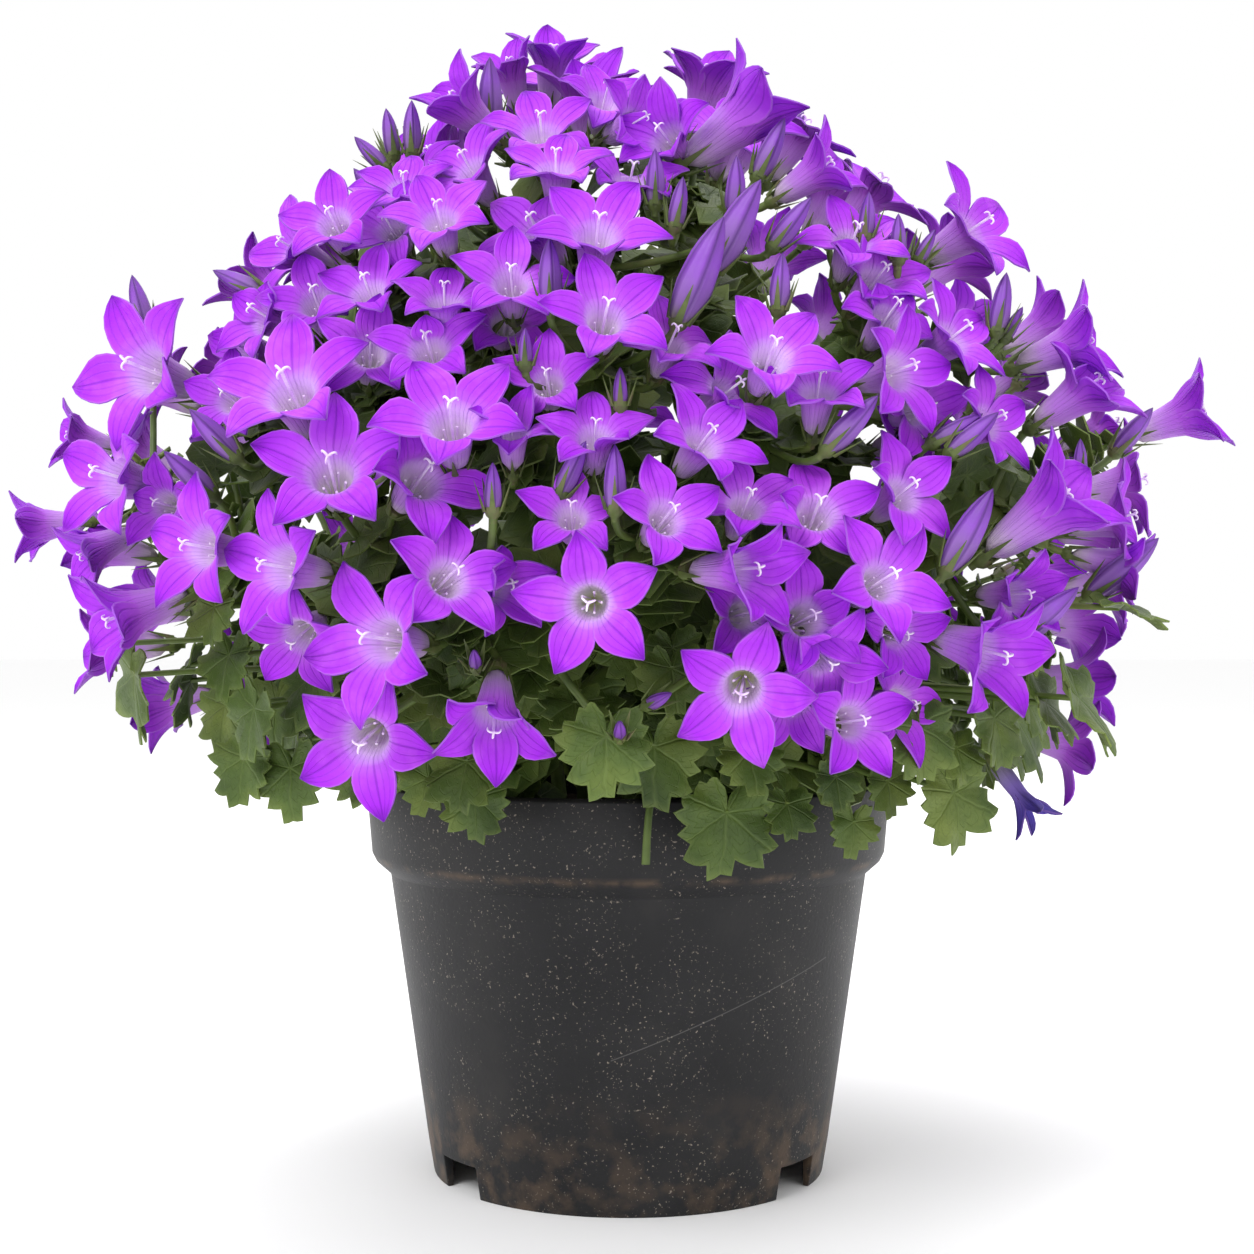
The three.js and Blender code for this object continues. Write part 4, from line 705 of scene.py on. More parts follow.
        [-50.9, -53.4, 235.2, -46, 48, 50, 1.01, "star", "agaac"],
        [-75.1, 2.4, 229.6, -78, 47, 23, 0.87, "star", "aaaac"],
        [-91.6, -7.4, 220.1, -86, 42, 40, 0.93, "bell", "ababb"],
    ], [[-61.4, -22.1, 240.6, -70, 50, 17.2]]],
    [[-54.8, 58.4, 193.5], 6, [[-49.6, 32.2, 145], None, [-53, 56.3, 191]], [
        [-60.2, 57.1, 223.9, -126, 44, 45, 0.97, "star", "aaaaa"],
        [-81.5, 52.9, 214.5, -123, 35, 67, 0.96, "bell", "ababb"],
        [-79.5, 76.4, 199.4, -127, 27, 64, 0.88, "bell", "ababb"],
        [-51.5, 95, 208.8, -149, 32, 19, 0.98, "star", "aaaaa"],
        [-17.5, 86.2, 218.2, -179, 44, 7, 0.88, "star", "aaaaa"],
        [-108.2, 29.6, 205, -97, 31, 50, 0.87, "star", "aaaaa"],
        [-71.1, 100.8, 184.3, -152, 26, 11, 0.88, "star", "aaaaa"],
    ], [[-81.1, 85.3, 185.7, -136, 54, 18.2]]],
    [[85.1, 33.2, 180.6], 3, [[56.4, 12, 140], None, [82.2, 32, 178.6]], [
        [89.7, 40.2, 216.4, 126, 37, 62, 0.93, "bell", "ababb"],
        [103, 27.6, 201.3, 99, 33, 50, 0.99, "star", "aaaaa"],
        [96.2, 61.7, 191.8, 114, 23, 63, 0.83, "star", "aaaaa"],
        [77.3, 73.5, 206.9, 132, 29, 71, 0.84, "star", "aaaaa"],
        [116.3, 46.3, 176.7, 117, 19, 31, 0.96, "star", "aaaaa"],
        [121.4, 8.6, 186.2, 81, 27, 41, 0.89, "star", "aa--a"],
        [122.5, 23.4, 161.6, 100, 6, 48, 0.88, "star", "aaaaa"],
    ], [[107.5, 23.6, 204, 102, 41, 14.7]]],
    [[29.1, 89.8, 178.2], 4, [[32.2, 49.6, 145], None, [28.2, 86.7, 176.3]], [
        [30.6, 95.3, 212.6, 174, 35, 70, 0.99, "star", "aaaaa"],
        [54.9, 100.2, 197.5, 146, 30, 7, 0.84, "bell", "ababb"],
        [23, 117.6, 188.1, 169, 21, 5, 0.94, "star", "aaaaa"],
        [0.3, 113.4, 203.1, 179, 28, 31, 0.93, "star", "aaaaa"],
        [45.9, 113.6, 173, 160, 13, 39, 0.95, "star", "aaaaa"],
        [83.3, 100.4, 182.4, 150, 24, 62, 0.97, "star", "aaaaa"],
        [9.7, 128.2, 163.5, 162, 9, 51, 0.97, "star", "aaaab"],
    ], [[66.7, 109.5, 167.4, 149, 53, 17]]],
    [[-100.4, 15.9, 158.8], 7, [[-56.4, -12, 140], None, [-96.9, 15.2, 157.6]], [
        [-116.1, -4.8, 195.6, -95, 30, 37, 0.83, "star", "aa-aa"],
        [-127.1, 19.1, 180.5, -94, 24, 51, 0.96, "star", "aaaaa"],
        [-132, 4.1, 156, -82, 10, 53, 0.94, "bell", "-abab"],
        [-115.9, 41, 165.4, -108, 18, 68, 0.85, "star", "aaaaa"],
        [-125.5, 28.3, 140.9, -118, 3, 70, 0.92, "bell", "ababb"],
        [-111, 54.6, 189.9, -104, 29, 35, 0.94, "star", "aaaaa"],
        [-126.3, -11, 131.5, -73, 0, 42, 0.97, "bell", "ababb"],
    ], []],
    [[-37.4, 92.3, 155.7], 5, [[-12.3, 57.8, 145], None, [-35.9, 89, 154.6]], [
        [-33.8, 107.2, 193.7, -154, 26, 12, 0.97, "star", "aaaaa"],
        [-14.9, 128.6, 178.6, -169, 18, 24, 0.87, "star", "aaaaa"],
        [-54.4, 120.7, 169.2, -161, 17, 70, 0.83, "bell", "ababb"],
        [-29.4, 123.7, 154.1, -159, 7, 44, 0.94, "star", "aaaaa"],
        [-64.5, 107.3, 144.7, -154, 4, 8, 0.88, "bell", "ababb"],
        [-80.8, 89.9, 159.8, -144, 14, 40, 0.96, "star", "aaaaa"],
        [-41.6, 113.6, 129.6, -169, -10, 15, 0.9, "star", "aaaaa"],
    ], []],
    [[-77.5, 57.9, 134.9], 6, [[-47.1, 30.6, 135], None, [-74.5, 55.6, 134.5]], [
        [-100, 75.7, 174.9, -127, 20, 32, 0.9, "bell", "ababb"],
        [-110.8, 65, 150.3, -117, 7, 11, 0.87, "bell", "ababb"],
        [-92.6, 81.4, 135.2, -139, -1, 5, 0.9, "star", "aaaaa"],
        [-103.8, 45.4, 125.8, -116, -6, 22, 0.83, "star", "aaaaa"],
        [-73.7, 95.1, 120.1, -136, -6, 51, 0.88, "star", "aaaaa"],
        [-93.9, 64.6, 110.7, -116, -12, 56, 0.92, "bell", "ababb"],
    ], []],
    [[94.1, 4.5, 135.4], 3, [[55, 11.7, 135], None, [90.4, 4.4, 135]], [
        [121.5, -14.6, 171.1, 81, 11, 68, 0.96, "star", "aaaaa"],
        [120.5, -0.2, 146.6, 83, 7, 13, 0.89, "star", "aaaaa"],
        [115.3, 13.4, 122, 92, -4, 62, 0.98, "bell", "ababb"],
        [121, 38.3, 137.1, 116, 0, 39, 0.97, "star", "aaaaa"],
        [108.6, -8.1, 106.9, 95, -12, 36, 0.9, "star", "aaaaa"],
    ], []],
    [[74.3, 64.3, 138.5], 4, [[31.4, 48.4, 140], None, [71.4, 62, 138.1]], [
        [96.4, 79.2, 167.3, 121, 13, 35, 0.87, "bell", "ababb"],
        [87.4, 91, 142.8, 126, -3, 18, 0.97, "star", "aaaaa"],
        [114.9, 62.3, 152.2, 126, 8, 52, 1, "bell", "ababb"],
        [70.1, 108.4, 157.9, 151, 5, 9, 0.93, "star", "caaaa"],
        [101.1, 71.4, 127.7, 124, -10, 27, 0.82, "star", "aaaaa"],
        [70.5, 93.2, 118.3, 138, -8, 55, 0.83, "star", "aaaaa"],
        [102.5, 46.3, 112.6, 111, -18, 13, 0.96, "star", "aaaaa"],
    ], []],
    [[22.9, 95.2, 130.7], 4, [[29.8, 45.9, 130], None, [22.1, 91.6, 130.5]], [
        [34.5, 126.7, 148.4, 177, 1, 3, 0.97, "star", "aaaaa"],
        [56.1, 114.2, 133.4, 144, -1, 23, 0.84, "star", "aaaaa"],
        [17.6, 117.6, 123.9, -178, -5, 39, 0.96, "bell", "ababb"],
        [-5.5, 128.9, 139, 179, 1, 55, 0.87, "star", "aaaaa"],
        [35.9, 101.9, 108.8, 161, -11, 68, 1, "star", "aaaaa"],
    ], []],
    [[-93.8, 8.4, 119.4], 7, [[-50.7, -10.8, 120], None, [-90.1, 7.9, 119.6]], [
        [-117.1, 12.2, 116.4, -104, -11, 33, 0.95, "bell", "ababb"],
    ], []],
    [[-17.8, 94.5, 118.2], 5, [[-10.8, 50.7, 120], None, [-17.1, 90.8, 118.5]], [
        [-18.9, 117.3, 114.5, 175, -15, 41, 0.92, "star", "aaaaa"],
    ], []],
]
heart = Vector((0, 0, 0.125))


def in_metres(place):
    return Vector(place) / 1000


def facing(turn, lift):
    """The ways out, up and to the right of what faces that way."""
    a, e = math.radians(turn), math.radians(lift)
    out = Vector((math.sin(a) * math.cos(e), -math.cos(a) * math.cos(e), math.sin(e)))
    up = Vector((-math.sin(a) * math.sin(e), math.cos(a) * math.sin(e), math.cos(e)))
    return out, up, Vector((math.cos(a), math.sin(a), 0))


def joined_as(name, pieces):
    """Joins copies into one piece."""
    bpy.ops.object.select_all(action="DESELECT")
    for piece in pieces:
        piece.select_set(True)
    bpy.context.view_layer.objects.active = pieces[0]
    if len(pieces) > 1:
        bpy.ops.object.join()
    piece = bpy.context.view_layer.objects.active
    piece.name = name
    piece.data.name = name
    return piece


def copy_of(master, points):
    """A copy of a piece with its own mesh, its points moved to these places."""
    twin = master.copy()
    twin.data = master.data.copy()
    twin.data.vertices.foreach_set("co", np.ascontiguousarray(points, dtype=np.float32).ravel())
    bpy.context.collection.objects.link(twin)
    return twin


def sheet_of(name, across, along, count=1):
    """Grids side by side, whose points are later bent into shape. Keeps each point's place in its
    own grid as count, across and along, from 0 to 1."""
    grids = []
    for k in range(count):
        none_selected()
        bpy.ops.mesh.primitive_grid_add(
            x_subdivisions=across,
            y_subdivisions=along,
            size=1,
            location=(0.5 + k, 0.5, 0),
            calc_uvs=True,
        )
        grids.append(settled(bpy.context.object, name))
    sheet = joined_as(name, grids)
    flat = np.empty(len(sheet.data.vertices) * 3, dtype=np.float32)
    sheet.data.vertices.foreach_get("co", flat)
    flat = flat.reshape(-1, 3)
    grid = np.repeat(np.arange(count), (across + 1) * (along + 1)).astype(float)
    return sheet, grid, flat[:, 0] - grid, flat[:, 1]


def tubes_of(name, runs):
    """Round stalks along smooth lines, as one mesh. A run is its points with their radii."""
    curve = bpy.data.curves.new(name, "CURVE")
    curve.dimensions = "3D"
    curve.bevel_depth = 1.0
    curve.bevel_resolution = 1
    curve.resolution_u = 3
    curve.use_fill_caps = True
    for points, radii in runs:
        spline = curve.splines.new("NURBS")
        spline.points.add(len(points) - 1)
        for knot, place, radius in zip(spline.points, points, radii):
            knot.co = (*place, 1)
            knot.radius = radius
        spline.use_endpoint_u = True
        spline.order_u = min(4, len(points))
    stalks = bpy.data.objects.new(name, curve)
    bpy.context.collection.objects.link(stalks)
    none_selected()
    stalks.select_set(True)
    bpy.context.view_layer.objects.active = stalks
    bpy.ops.object.convert(target="MESH")
    stalks = bpy.context.object
    stalks.name = name
    stalks.data.name = name
    bpy.ops.object.mode_set(mode="EDIT")
    bpy.ops.mesh.select_all(action="SELECT")
    bpy.ops.mesh.remove_doubles(threshold=1e-6)
    bpy.ops.mesh.normals_make_consistent(inside=False)
    bpy.ops.object.mode_set(mode="OBJECT")
    smoothed(stalks, 80)
    return stalks


def line_between(points, steps):
    """Places evenly along a broken line."""
    lengths = [(b - a).length for a, b in zip(points, points[1:])]
    total = sum(lengths)
    places = []
    for i in range(steps):
        left = total * (i + 0.5) / steps
        for a, b, length in zip(points, points[1:], lengths):
            if left <= length or b is points[-1]:
                places.append((a.lerp(b, min(1, left / max(length, 1e-6))), (b - a).normalized()))
                break
            left -= length
    return places


# The green stems with their side shoots and leaf stalks. Living stems, juicy and yellow-green,
# that branch from the crown's foot. Each is one growth with its shoots.
green, tree, shader = new_material("green stalk", 0.5)
skin = placed_group(
    tree, mottled, Dark=(0.050, 0.085, 0.014), Medium=(0.105, 0.160, 0.028), Light=(0.175, 0.205, 0.052)
)
tree.links.new(skin["Colour"], shader.inputs["Base Color"])
tree.links.new(placed_group(tree, grained, Distance=0.0002)["Normal"], shader.inputs["Normal"])

# More leaves low round the crown, where the photograph shows them thick, scattered by rule.
extra_leaf_count = 84
leafy_stem_count = 8
golden_angle = 137.508
extra_leaves = [[] for _ in stem_rows]
scatter = random.Random(14)
for i in range(extra_leaf_count):
    turn = (i * golden_angle) % 360 - 180
    reach, height = scatter.uniform(66, 112), scatter.uniform(104, 138)
    if height < 112:
        reach = max(reach, 84)
    a = math.radians(turn)
    root = [math.sin(a) * reach, -math.cos(a) * reach, height]
    number = min(range(leafy_stem_count), key=lambda n: math.dist(stem_rows[n][0][:2], root[:2]))
    foot, top, _ = stem_rows[number]
    share = scatter.uniform(0.3, 0.7)
    joint = [one + (two - one) * share for one, two in zip(foot, top)]
    knee_reach = min(70, reach - 5)
    knee = [math.sin(a) * knee_reach, -math.cos(a) * knee_reach, max(108, height + 4)]
    tilt, roll, length = scatter.uniform(5, 40), scatter.uniform(155, 205), scatter.uniform(10, 16)
    extra_leaves[number].append([*root, turn, tilt, roll, length, *knee, *joint])

stem_radii = (0.0019, 0.0017, 0.0016, 0.0013)
leaf_stalk_radii = (0.0010, 0.0009, 0.0008, 0.0008, 0.0007)
shoot_radii = (0.0013, 0.0012, 0.0012, 0.0011, 0.0011, 0.0012)
stem_runs = [[] for _ in stem_rows]
for number, (foot, top, leaves) in enumerate(stem_rows):
    foot, top = in_metres(foot), in_metres(top)
    sway = random.Random(number)
    bend = Vector((sway.uniform(-1, 1), sway.uniform(-1, 1), 0)) * 0.0012
    stem_runs[number].append(
        ([foot, foot.lerp(top, 0.35) + bend, foot.lerp(top, 0.7) - bend, top], stem_radii)
    )
    for row in leaves + extra_leaves[number]:
        root, knee, joint = in_metres(row[0:3]), in_metres(row[7:10]), in_metres(row[10:13])
        stem_runs[number].append(
            ([joint, joint.lerp(knee, 0.6), knee, knee.lerp(root, 0.6), root], leaf_stalk_radii)
        )
for fork_place, stem_number, shoot, flowers, buds in [withered_row, *spray_rows]:
    root, knee, end = (in_metres(place) if place else None for place in shoot)
    fork_place = in_metres(fork_place)
    middle = knee or root.lerp(end, 0.5)
    stem_runs[stem_number - 1].append(
        ([root, root.lerp(middle, 0.6), middle, middle.lerp(end, 0.5), end, fork_place], shoot_radii)
    )

# An old leaf stalk without its blade hangs over the rim at the front.
stub = [
    Vector(place) / 1000
    for place in ((9.2, -44, 97), (8, -58, 104), (6, -68, 103), (4.2, -71, 96), (3.8, -71.4, 84))
]
stem_runs[0].append((stub, (0.0009, 0.0009, 0.0009, 0.0008, 0.0010)))
for number, runs in enumerate(stem_runs, 1):
    stem = tubes_of(f"green-stem-{number}", runs)
    stem.data.materials.append(green)
    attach(stem, "root")
    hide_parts(f"leafy-stem-{number}")

# The leaves. Soft heart-shaped blades with coarse teeth, mid green with paler veins and edges,
# grown on thin stalks of their own. Small ones sit close along the shoots under the flowers.
leaf_thickness = 0.0004
leaf_teeth = 15
small_leaf_teeth = 7
leaf_reach = (
    (0, 1), (14, 0.93), (30, 0.90), (50, 0.84), (70, 0.78), (95, 0.74), (125, 0.70), (150, 0.62),
    (168, 0.42), (180, 0.10),
)
# Ridge lines: thin lines side by side, for the veins of leaves and petals and the folds of buds.
ridged, given, made = group_of(
    "ridge lines",
    {"Value": 0.0, "Count": 5.0, "Shift": 0.0, "Sharpness": 7.0},
    {"Line": "NodeSocketFloat", "Away": "NodeSocketFloat"},
)
step = plus(times(given["Value"], given["Count"]), given["Shift"])
away = unsigned(minus(sum_of("FRACT", step), 0.5))
ridged.links.new(minus(1, times(away, given["Sharpness"], clamp=True)), made["Line"])
ridged.links.new(away, made["Away"])

blade, tree, shader = new_material("leaf", 0.52)
shader.inputs["Specular IOR Level"].default_value = 0.35
uv = node_of(tree, "ShaderNodeUVMap", uv_map="UVMap").outputs[0]
axes = node_of(tree, "ShaderNodeSeparateXYZ", {0: uv})
round_it, along_it = axes.outputs["X"], axes.outputs["Y"]
bent = plus(round_it, times(minus(noise_of(tree, 160, 2), 0.5), 0.05))
vein, fan = placed_group(tree, ridged, Value=bent, Count=7.0, Sharpness=times(along_it, 22))
side_vein = placed_group(
    tree, ridged, Value=along_it, Count=5.0, Shift=times(fan, -3.2), Sharpness=14.0,
)["Line"]
veins = sum_of("MAXIMUM", vein, times(side_vein, 0.5))
flesh = placed_group(
    tree,
    mottled,
    Scale=45.0,
    Detail=4.0,
    Middle=0.5,
    To=0.70,
    Dark=(0.026, 0.052, 0.007),
    Medium=(0.064, 0.108, 0.016),
    Light=(0.150, 0.200, 0.036),
)["Colour"]
edge = times(minus(along_it, 0.86), 7, clamp=True)
rimmed = mixed(times(edge, 0.38), flesh, (0.170, 0.230, 0.055))
tree.links.new(mixed(times(veins, 0.24), rimmed, (0.170, 0.240, 0.060)), shader.inputs["Base Color"])
tree.links.new(
    placed_group(
        tree, grained, Scale=700.0, Height=times(veins, -1), Strength=0.6, Distance=0.0004,
    )["Normal"],
    shader.inputs["Normal"],
)


def leaf_points(round_at, out_at, root, out, tip, length, teeth, seed, narrow=1.0):
    """Places of a blade's points. round_at runs round the blade from 0 to 1, tip at a half."""
    angle = (round_at - 0.5) * 2 * math.pi
    steps, reach = zip(*leaf_reach)
    wide = np.interp(np.abs(np.degrees(angle)), steps, reach)
    saw = ((round_at - 0.5) * teeth * np.sign(round_at - 0.5 + 1e-6) + 0.35) % 1
    wide = wide * (
        0.76 + 0.07 * np.sin(angle * 5 + seed) + 0.27 * saw * np.clip(
            1.4 - np.abs(angle) / math.pi, 0, 1,
        )
    )
    far = wide * length * out_at
    side = out.cross(tip)
    ahead, aside = np.cos(angle) * far, np.sin(angle) * far * narrow
    wave = 0.075 * length * np.sin(angle * 5 + seed) * out_at ** 2
    fold = 0.10 * np.abs(aside) - 0.22 * ahead * np.abs(ahead) / length
    lift = wave + fold
    return np.array(root)[None] + ahead[
        :, None,
    ] * np.array(tip) + aside[:, None] * np.array(side) + lift[:, None] * np.array(out)


def leaf_master(name, around, rings):
    master, _, round_at, out_at = sheet_of(name, around, rings)
    master.data.materials.append(blade)
    return master, round_at, out_at


broad_leaf, broad_round, broad_out = leaf_master("broad-leaf", 64, 5)
small_leaf, small_round, small_out = leaf_master("small-leaf", 14, 2)


def leaves_as(name, copies):
    leaves = joined_as(name, copies)
    none_selected()
    leaves.select_set(True)
    bpy.context.view_layer.objects.active = leaves
    bpy.ops.object.mode_set(mode="EDIT")
    bpy.ops.mesh.select_all(action="SELECT")
    bpy.ops.mesh.remove_doubles(threshold=1e-6)
    bpy.ops.object.mode_set(mode="OBJECT")
    finished_with(leaves, "SOLIDIFY", thickness=leaf_thickness, offset=0)
    smoothed(leaves, 60)
    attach(leaves, "root")
    return leaves


for number, (foot, top, leaves) in enumerate(stem_rows, 1):
    copies = []
    for row in leaves + extra_leaves[number - 1]:
        out, up, right = facing(row[3], row[4])
        roll = math.radians(row[5])
        tip = up * math.cos(roll) + right * math.sin(roll)
        places = leaf_points(
            broad_round,
            broad_out,
            in_metres(row[0:3]),
            out,
            tip,
            row[6] / 1000,
            leaf_teeth,
            number + row[0],
        )
        copies.append(copy_of(broad_leaf, places))
    if copies:
        leaves_as(f"leaves-{number}", copies)

# Small leaves along the stems, shoots and stalks, in a spiral, as they grow under the flowers.
# They are spaced by these distances, and none may cut through the pot's rim.
stem_spacing, shoot_spacing, leaf_stalk_spacing, flower_stalk_spacing = 0.0048, 0.0040, 0.0075, 0.0062
small_leaf_longest, flower_stalk_longest = 0.0170, 0.0135
rim_height, rim_reach = 0.097, 0.058
spiral = random.Random(21)
for number, (foot, top, leaves) in enumerate(stem_rows, 1):
    foot, top = in_metres(foot), in_metres(top)
    copies = []
    lines = [([foot.lerp(top, 0.25), top], stem_spacing, small_leaf_longest)]
    for fork_place, stem_number, (root, knee, end), flowers, buds in spray_rows:
        if stem_number == number:
            fork_place = in_metres(fork_place)
            corners = [in_metres(place) for place in (root, knee, end) if place] + [fork_place]
            lines.append((corners, shoot_spacing, small_leaf_longest))
            for row in flowers:
                flower_foot = in_metres(row[0:3]) - facing(row[3], row[4])[0] * flower_tube * row[6]
                corners = [fork_place, fork_place.lerp(flower_foot, 0.7)]
                lines.append((corners, flower_stalk_spacing, flower_stalk_longest))
    for row in leaves:
        corners = [in_metres(row[10:13]), in_metres(row[7:10])]
        lines.append((corners, leaf_stalk_spacing, small_leaf_longest))
    for corners, spacing, longest in lines:
        total = sum((b - a).length for a, b in zip(corners, corners[1:]))
        steps = max(2, int(total / spacing))
        for i, (place, way) in enumerate(line_between(corners, steps)):
            side = way.orthogonal()
            side.rotate(Quaternion(way, math.radians(137.5 * i + 40 * spiral.random())))
            length = spiral.uniform(0.6 * longest, longest)
            tip = (side + way * spiral.uniform(0.1, 0.6)).normalized()
            face = (place - heart).normalized() + Vector((0, 0, 0.5)) + side * 0.3
            face = (face - tip * face.dot(tip)).normalized()
            reach = place + tip * length
            if place.z < rim_height and math.hypot(reach.x, reach.y) > rim_reach:
                continue
            copies.append(
                copy_of(
                    small_leaf,
                    leaf_points(
                        small_round, small_out, place, face, tip, length, small_leaf_teeth, i, 0.8,
                    ),
                )
            )
    leaves_as(f"small-leaves-{number}", copies)
for master in (broad_leaf, small_leaf):
    bpy.data.objects.remove(master)

# The flowers. Each is one thin violet funnel that opens into five pointed lobes, pale and then
# greenish down its throat. Sprays of them stand on forked stalks, fused as they grew.
petal_sizes = {"length": 14.2, "throat": 4.5, "thickness": 0.00038}
petal_leans = {"star": (62, 82), "bell": (30, 56), "withered": (8, 24)}
petal_bends = (0, 12, -12, 24, -24, 36, 48)
petal_stretches = (1, 0.8, 0.62)
left_out_petal = 18
tube_share = 0.36
petal_widths = (
    (0, 2.65), (0.1, 3.5), (0.25, 4.6), (0.42, 5.15), (0.58, 4.6), (0.72, 3.4), (0.84, 2.0),
    (0.93, 0.9), (1, 0.06),
)
tube_radii = ((0, 0.0), (0.08, 1.8), (0.3, 2.8), (0.6, 3.4), (0.85, 4.0), (1, 4.5))


# Petal pattern: light blotches, a paler rim, and the veins and midrib of a lobe.
patterned, given, made = group_of(
    "petal pattern",
    {
        "Across": 0.0,
        "Along": 0.0,
        "Body": (0.4, 0.04, 0.7),
        "Blotch": (0.6, 0.13, 0.84),
        "Rim": (0.70, 0.34, 0.88),
        "Line": (0.2, 0.03, 0.5),
        "Lines": 6.0,
        "Line Strength": 0.2,
    },
    {"Colour": "NodeSocketColor", "Height": "NodeSocketFloat"},
)
blotches = times(minus(noise_of(patterned, 130, 4), 0.50), 5.0, clamp=True)
toned = mixed(times(blotches, 0.35), given["Body"], given["Blotch"])
middle = unsigned(minus(given["Across"], 0.5))
rim = times(minus(middle, 0.455), 16, clamp=True)
rim = times(rim, sum_of("GREATER_THAN", given["Along"], tube_share + 0.04))
edged = mixed(times(rim, 0.4), toned, given["Rim"])
thin = placed_group(patterned, ridged, Value=given["Across"], Count=given["Lines"], Shift=0.5)["Line"]
midrib = minus(1, times(middle, 26, clamp=True))
drawn = sum_of("MAXIMUM", times(thin, given["Line Strength"]), times(midrib, 0.45))
drawn = times(drawn, minus(times(given["Along"], 2.4), 0.5, clamp=True))
patterned.links.new(mixed(drawn, edged, given["Line"]), made["Colour"])
patterned.links.new(plus(times(thin, -0.5), times(midrib, -0.8)), made["Height"])


def petal_colours(name, stops, blotch_colour, line_colour, lines, line_strength):
    """A petal's finish. Its UV runs across each lobe and along it, from the tube's foot to the tip."""
    material, tree, shader = new_material(name, 0.5)
    shader.inputs["Specular IOR Level"].default_value = 0.14
    uv = node_of(tree, "ShaderNodeUVMap", uv_map="UVMap").outputs[0]
    axes = node_of(tree, "ShaderNodeSeparateXYZ", {0: uv})
    across, along = axes.outputs["X"], axes.outputs["Y"]
    wander = times(minus(noise_of(tree, 120, 4), 0.5), 0.16)
    body = ramp_of(plus(along, wander), stops)
    pattern = placed_group(
        tree,
        patterned,
        Across=across,
        Along=along,
        Body=body,
        Blotch=blotch_colour,
        Line=line_colour,
        Lines=lines,
        Line_Strength=line_strength,
    )
    tree.links.new(pattern["Colour"], shader.inputs["Base Color"])
    tree.links.new(
        placed_group(
            tree, grained, Scale=260.0, Height=pattern["Height"], Strength=0.5, Distance=0.0005,
        )["Normal"],
        shader.inputs["Normal"],
    )
    return material


inside = petal_colours(
    "petal inside",
    [
        (0.03, (0.70, 0.78, 0.34)), (0.10, (0.96, 0.95, 0.92)), (0.24, (0.86, 0.72, 0.92)),
        (0.36, (0.62, 0.34, 0.82)), (0.45, (0.48, 0.11, 0.76)), (0.56, (0.42, 0.050, 0.74)),
        (0.84, (0.34, 0.020, 0.69)), (1.0, (0.15, 0.006, 0.38)),
    ],
    (0.62, 0.14, 0.86), (0.20, 0.020, 0.52), 6.0, 0.14,
)
outside = petal_colours(
    "petal outside",
    [
        (0.04, (0.58, 0.50, 0.58)), (0.20, (0.46, 0.24, 0.64)), (0.40, (0.37, 0.08, 0.62)),
        (0.65, (0.29, 0.030, 0.60)), (0.9, (0.25, 0.018, 0.56)), (1.0, (0.12, 0.006, 0.32)),
    ],
    (0.46, 0.10, 0.74), (0.11, 0.012, 0.34), 5.0, 0.40,
)
shrivelled = petal_colours(
    "petal withered",
    [
        (0.05, (0.30, 0.26, 0.34)), (0.3, (0.22, 0.14, 0.50)), (0.7, (0.10, 0.065, 0.42)),
        (1.0, (0.05, 0.03, 0.20)),
    ],
    (0.20, 0.14, 0.56), (0.04, 0.02, 0.16), 7.0, 0.6,
)

cream, tree, shader = new_material("style", 0.5)
bloomy = placed_group(
    tree,
    mottled,
    Scale=300.0,
    From=0.35,
    To=0.7,
    Dark=(0.70, 0.52, 0.80),
    Medium=(0.80, 0.70, 0.84),
    Light=(0.88, 0.84, 0.88),
)
tree.links.new(bloomy["Colour"], shader.inputs["Base Color"])

sepal, tree, shader = new_material("calyx", 0.55)
skin = placed_group(
    tree,
    mottled,
    Scale=180.0,
    Dark=(0.050, 0.072, 0.015),
    Medium=(0.100, 0.140, 0.028),
    Light=(0.150, 0.105, 0.062),
)
tree.links.new(skin["Colour"], shader.inputs["Base Color"])
tree.links.new(placed_group(tree, grained, Strength=0.4)["Normal"], shader.inputs["Normal"])


def corolla_master(name, across, along):
    master, lobe, side, far = sheet_of(name, across, along, 5)
    master.data.materials.append(inside)
    master.data.materials.append(outside)
    row = np.rint(far * along)
    turn = round(along * tube_share)
    beyond = tube_share + (row - turn) / (along - turn) * (1 - tube_share)
    far = np.where(row <= turn, row / turn * tube_share, beyond)
    uvs = master.data.uv_layers[0].data
    for corner in master.data.loops:
        uvs[corner.index].uv = (float(side[corner.vertex_index]), float(far[corner.vertex_index]))
    return master, lobe, side * 2 - 1, far


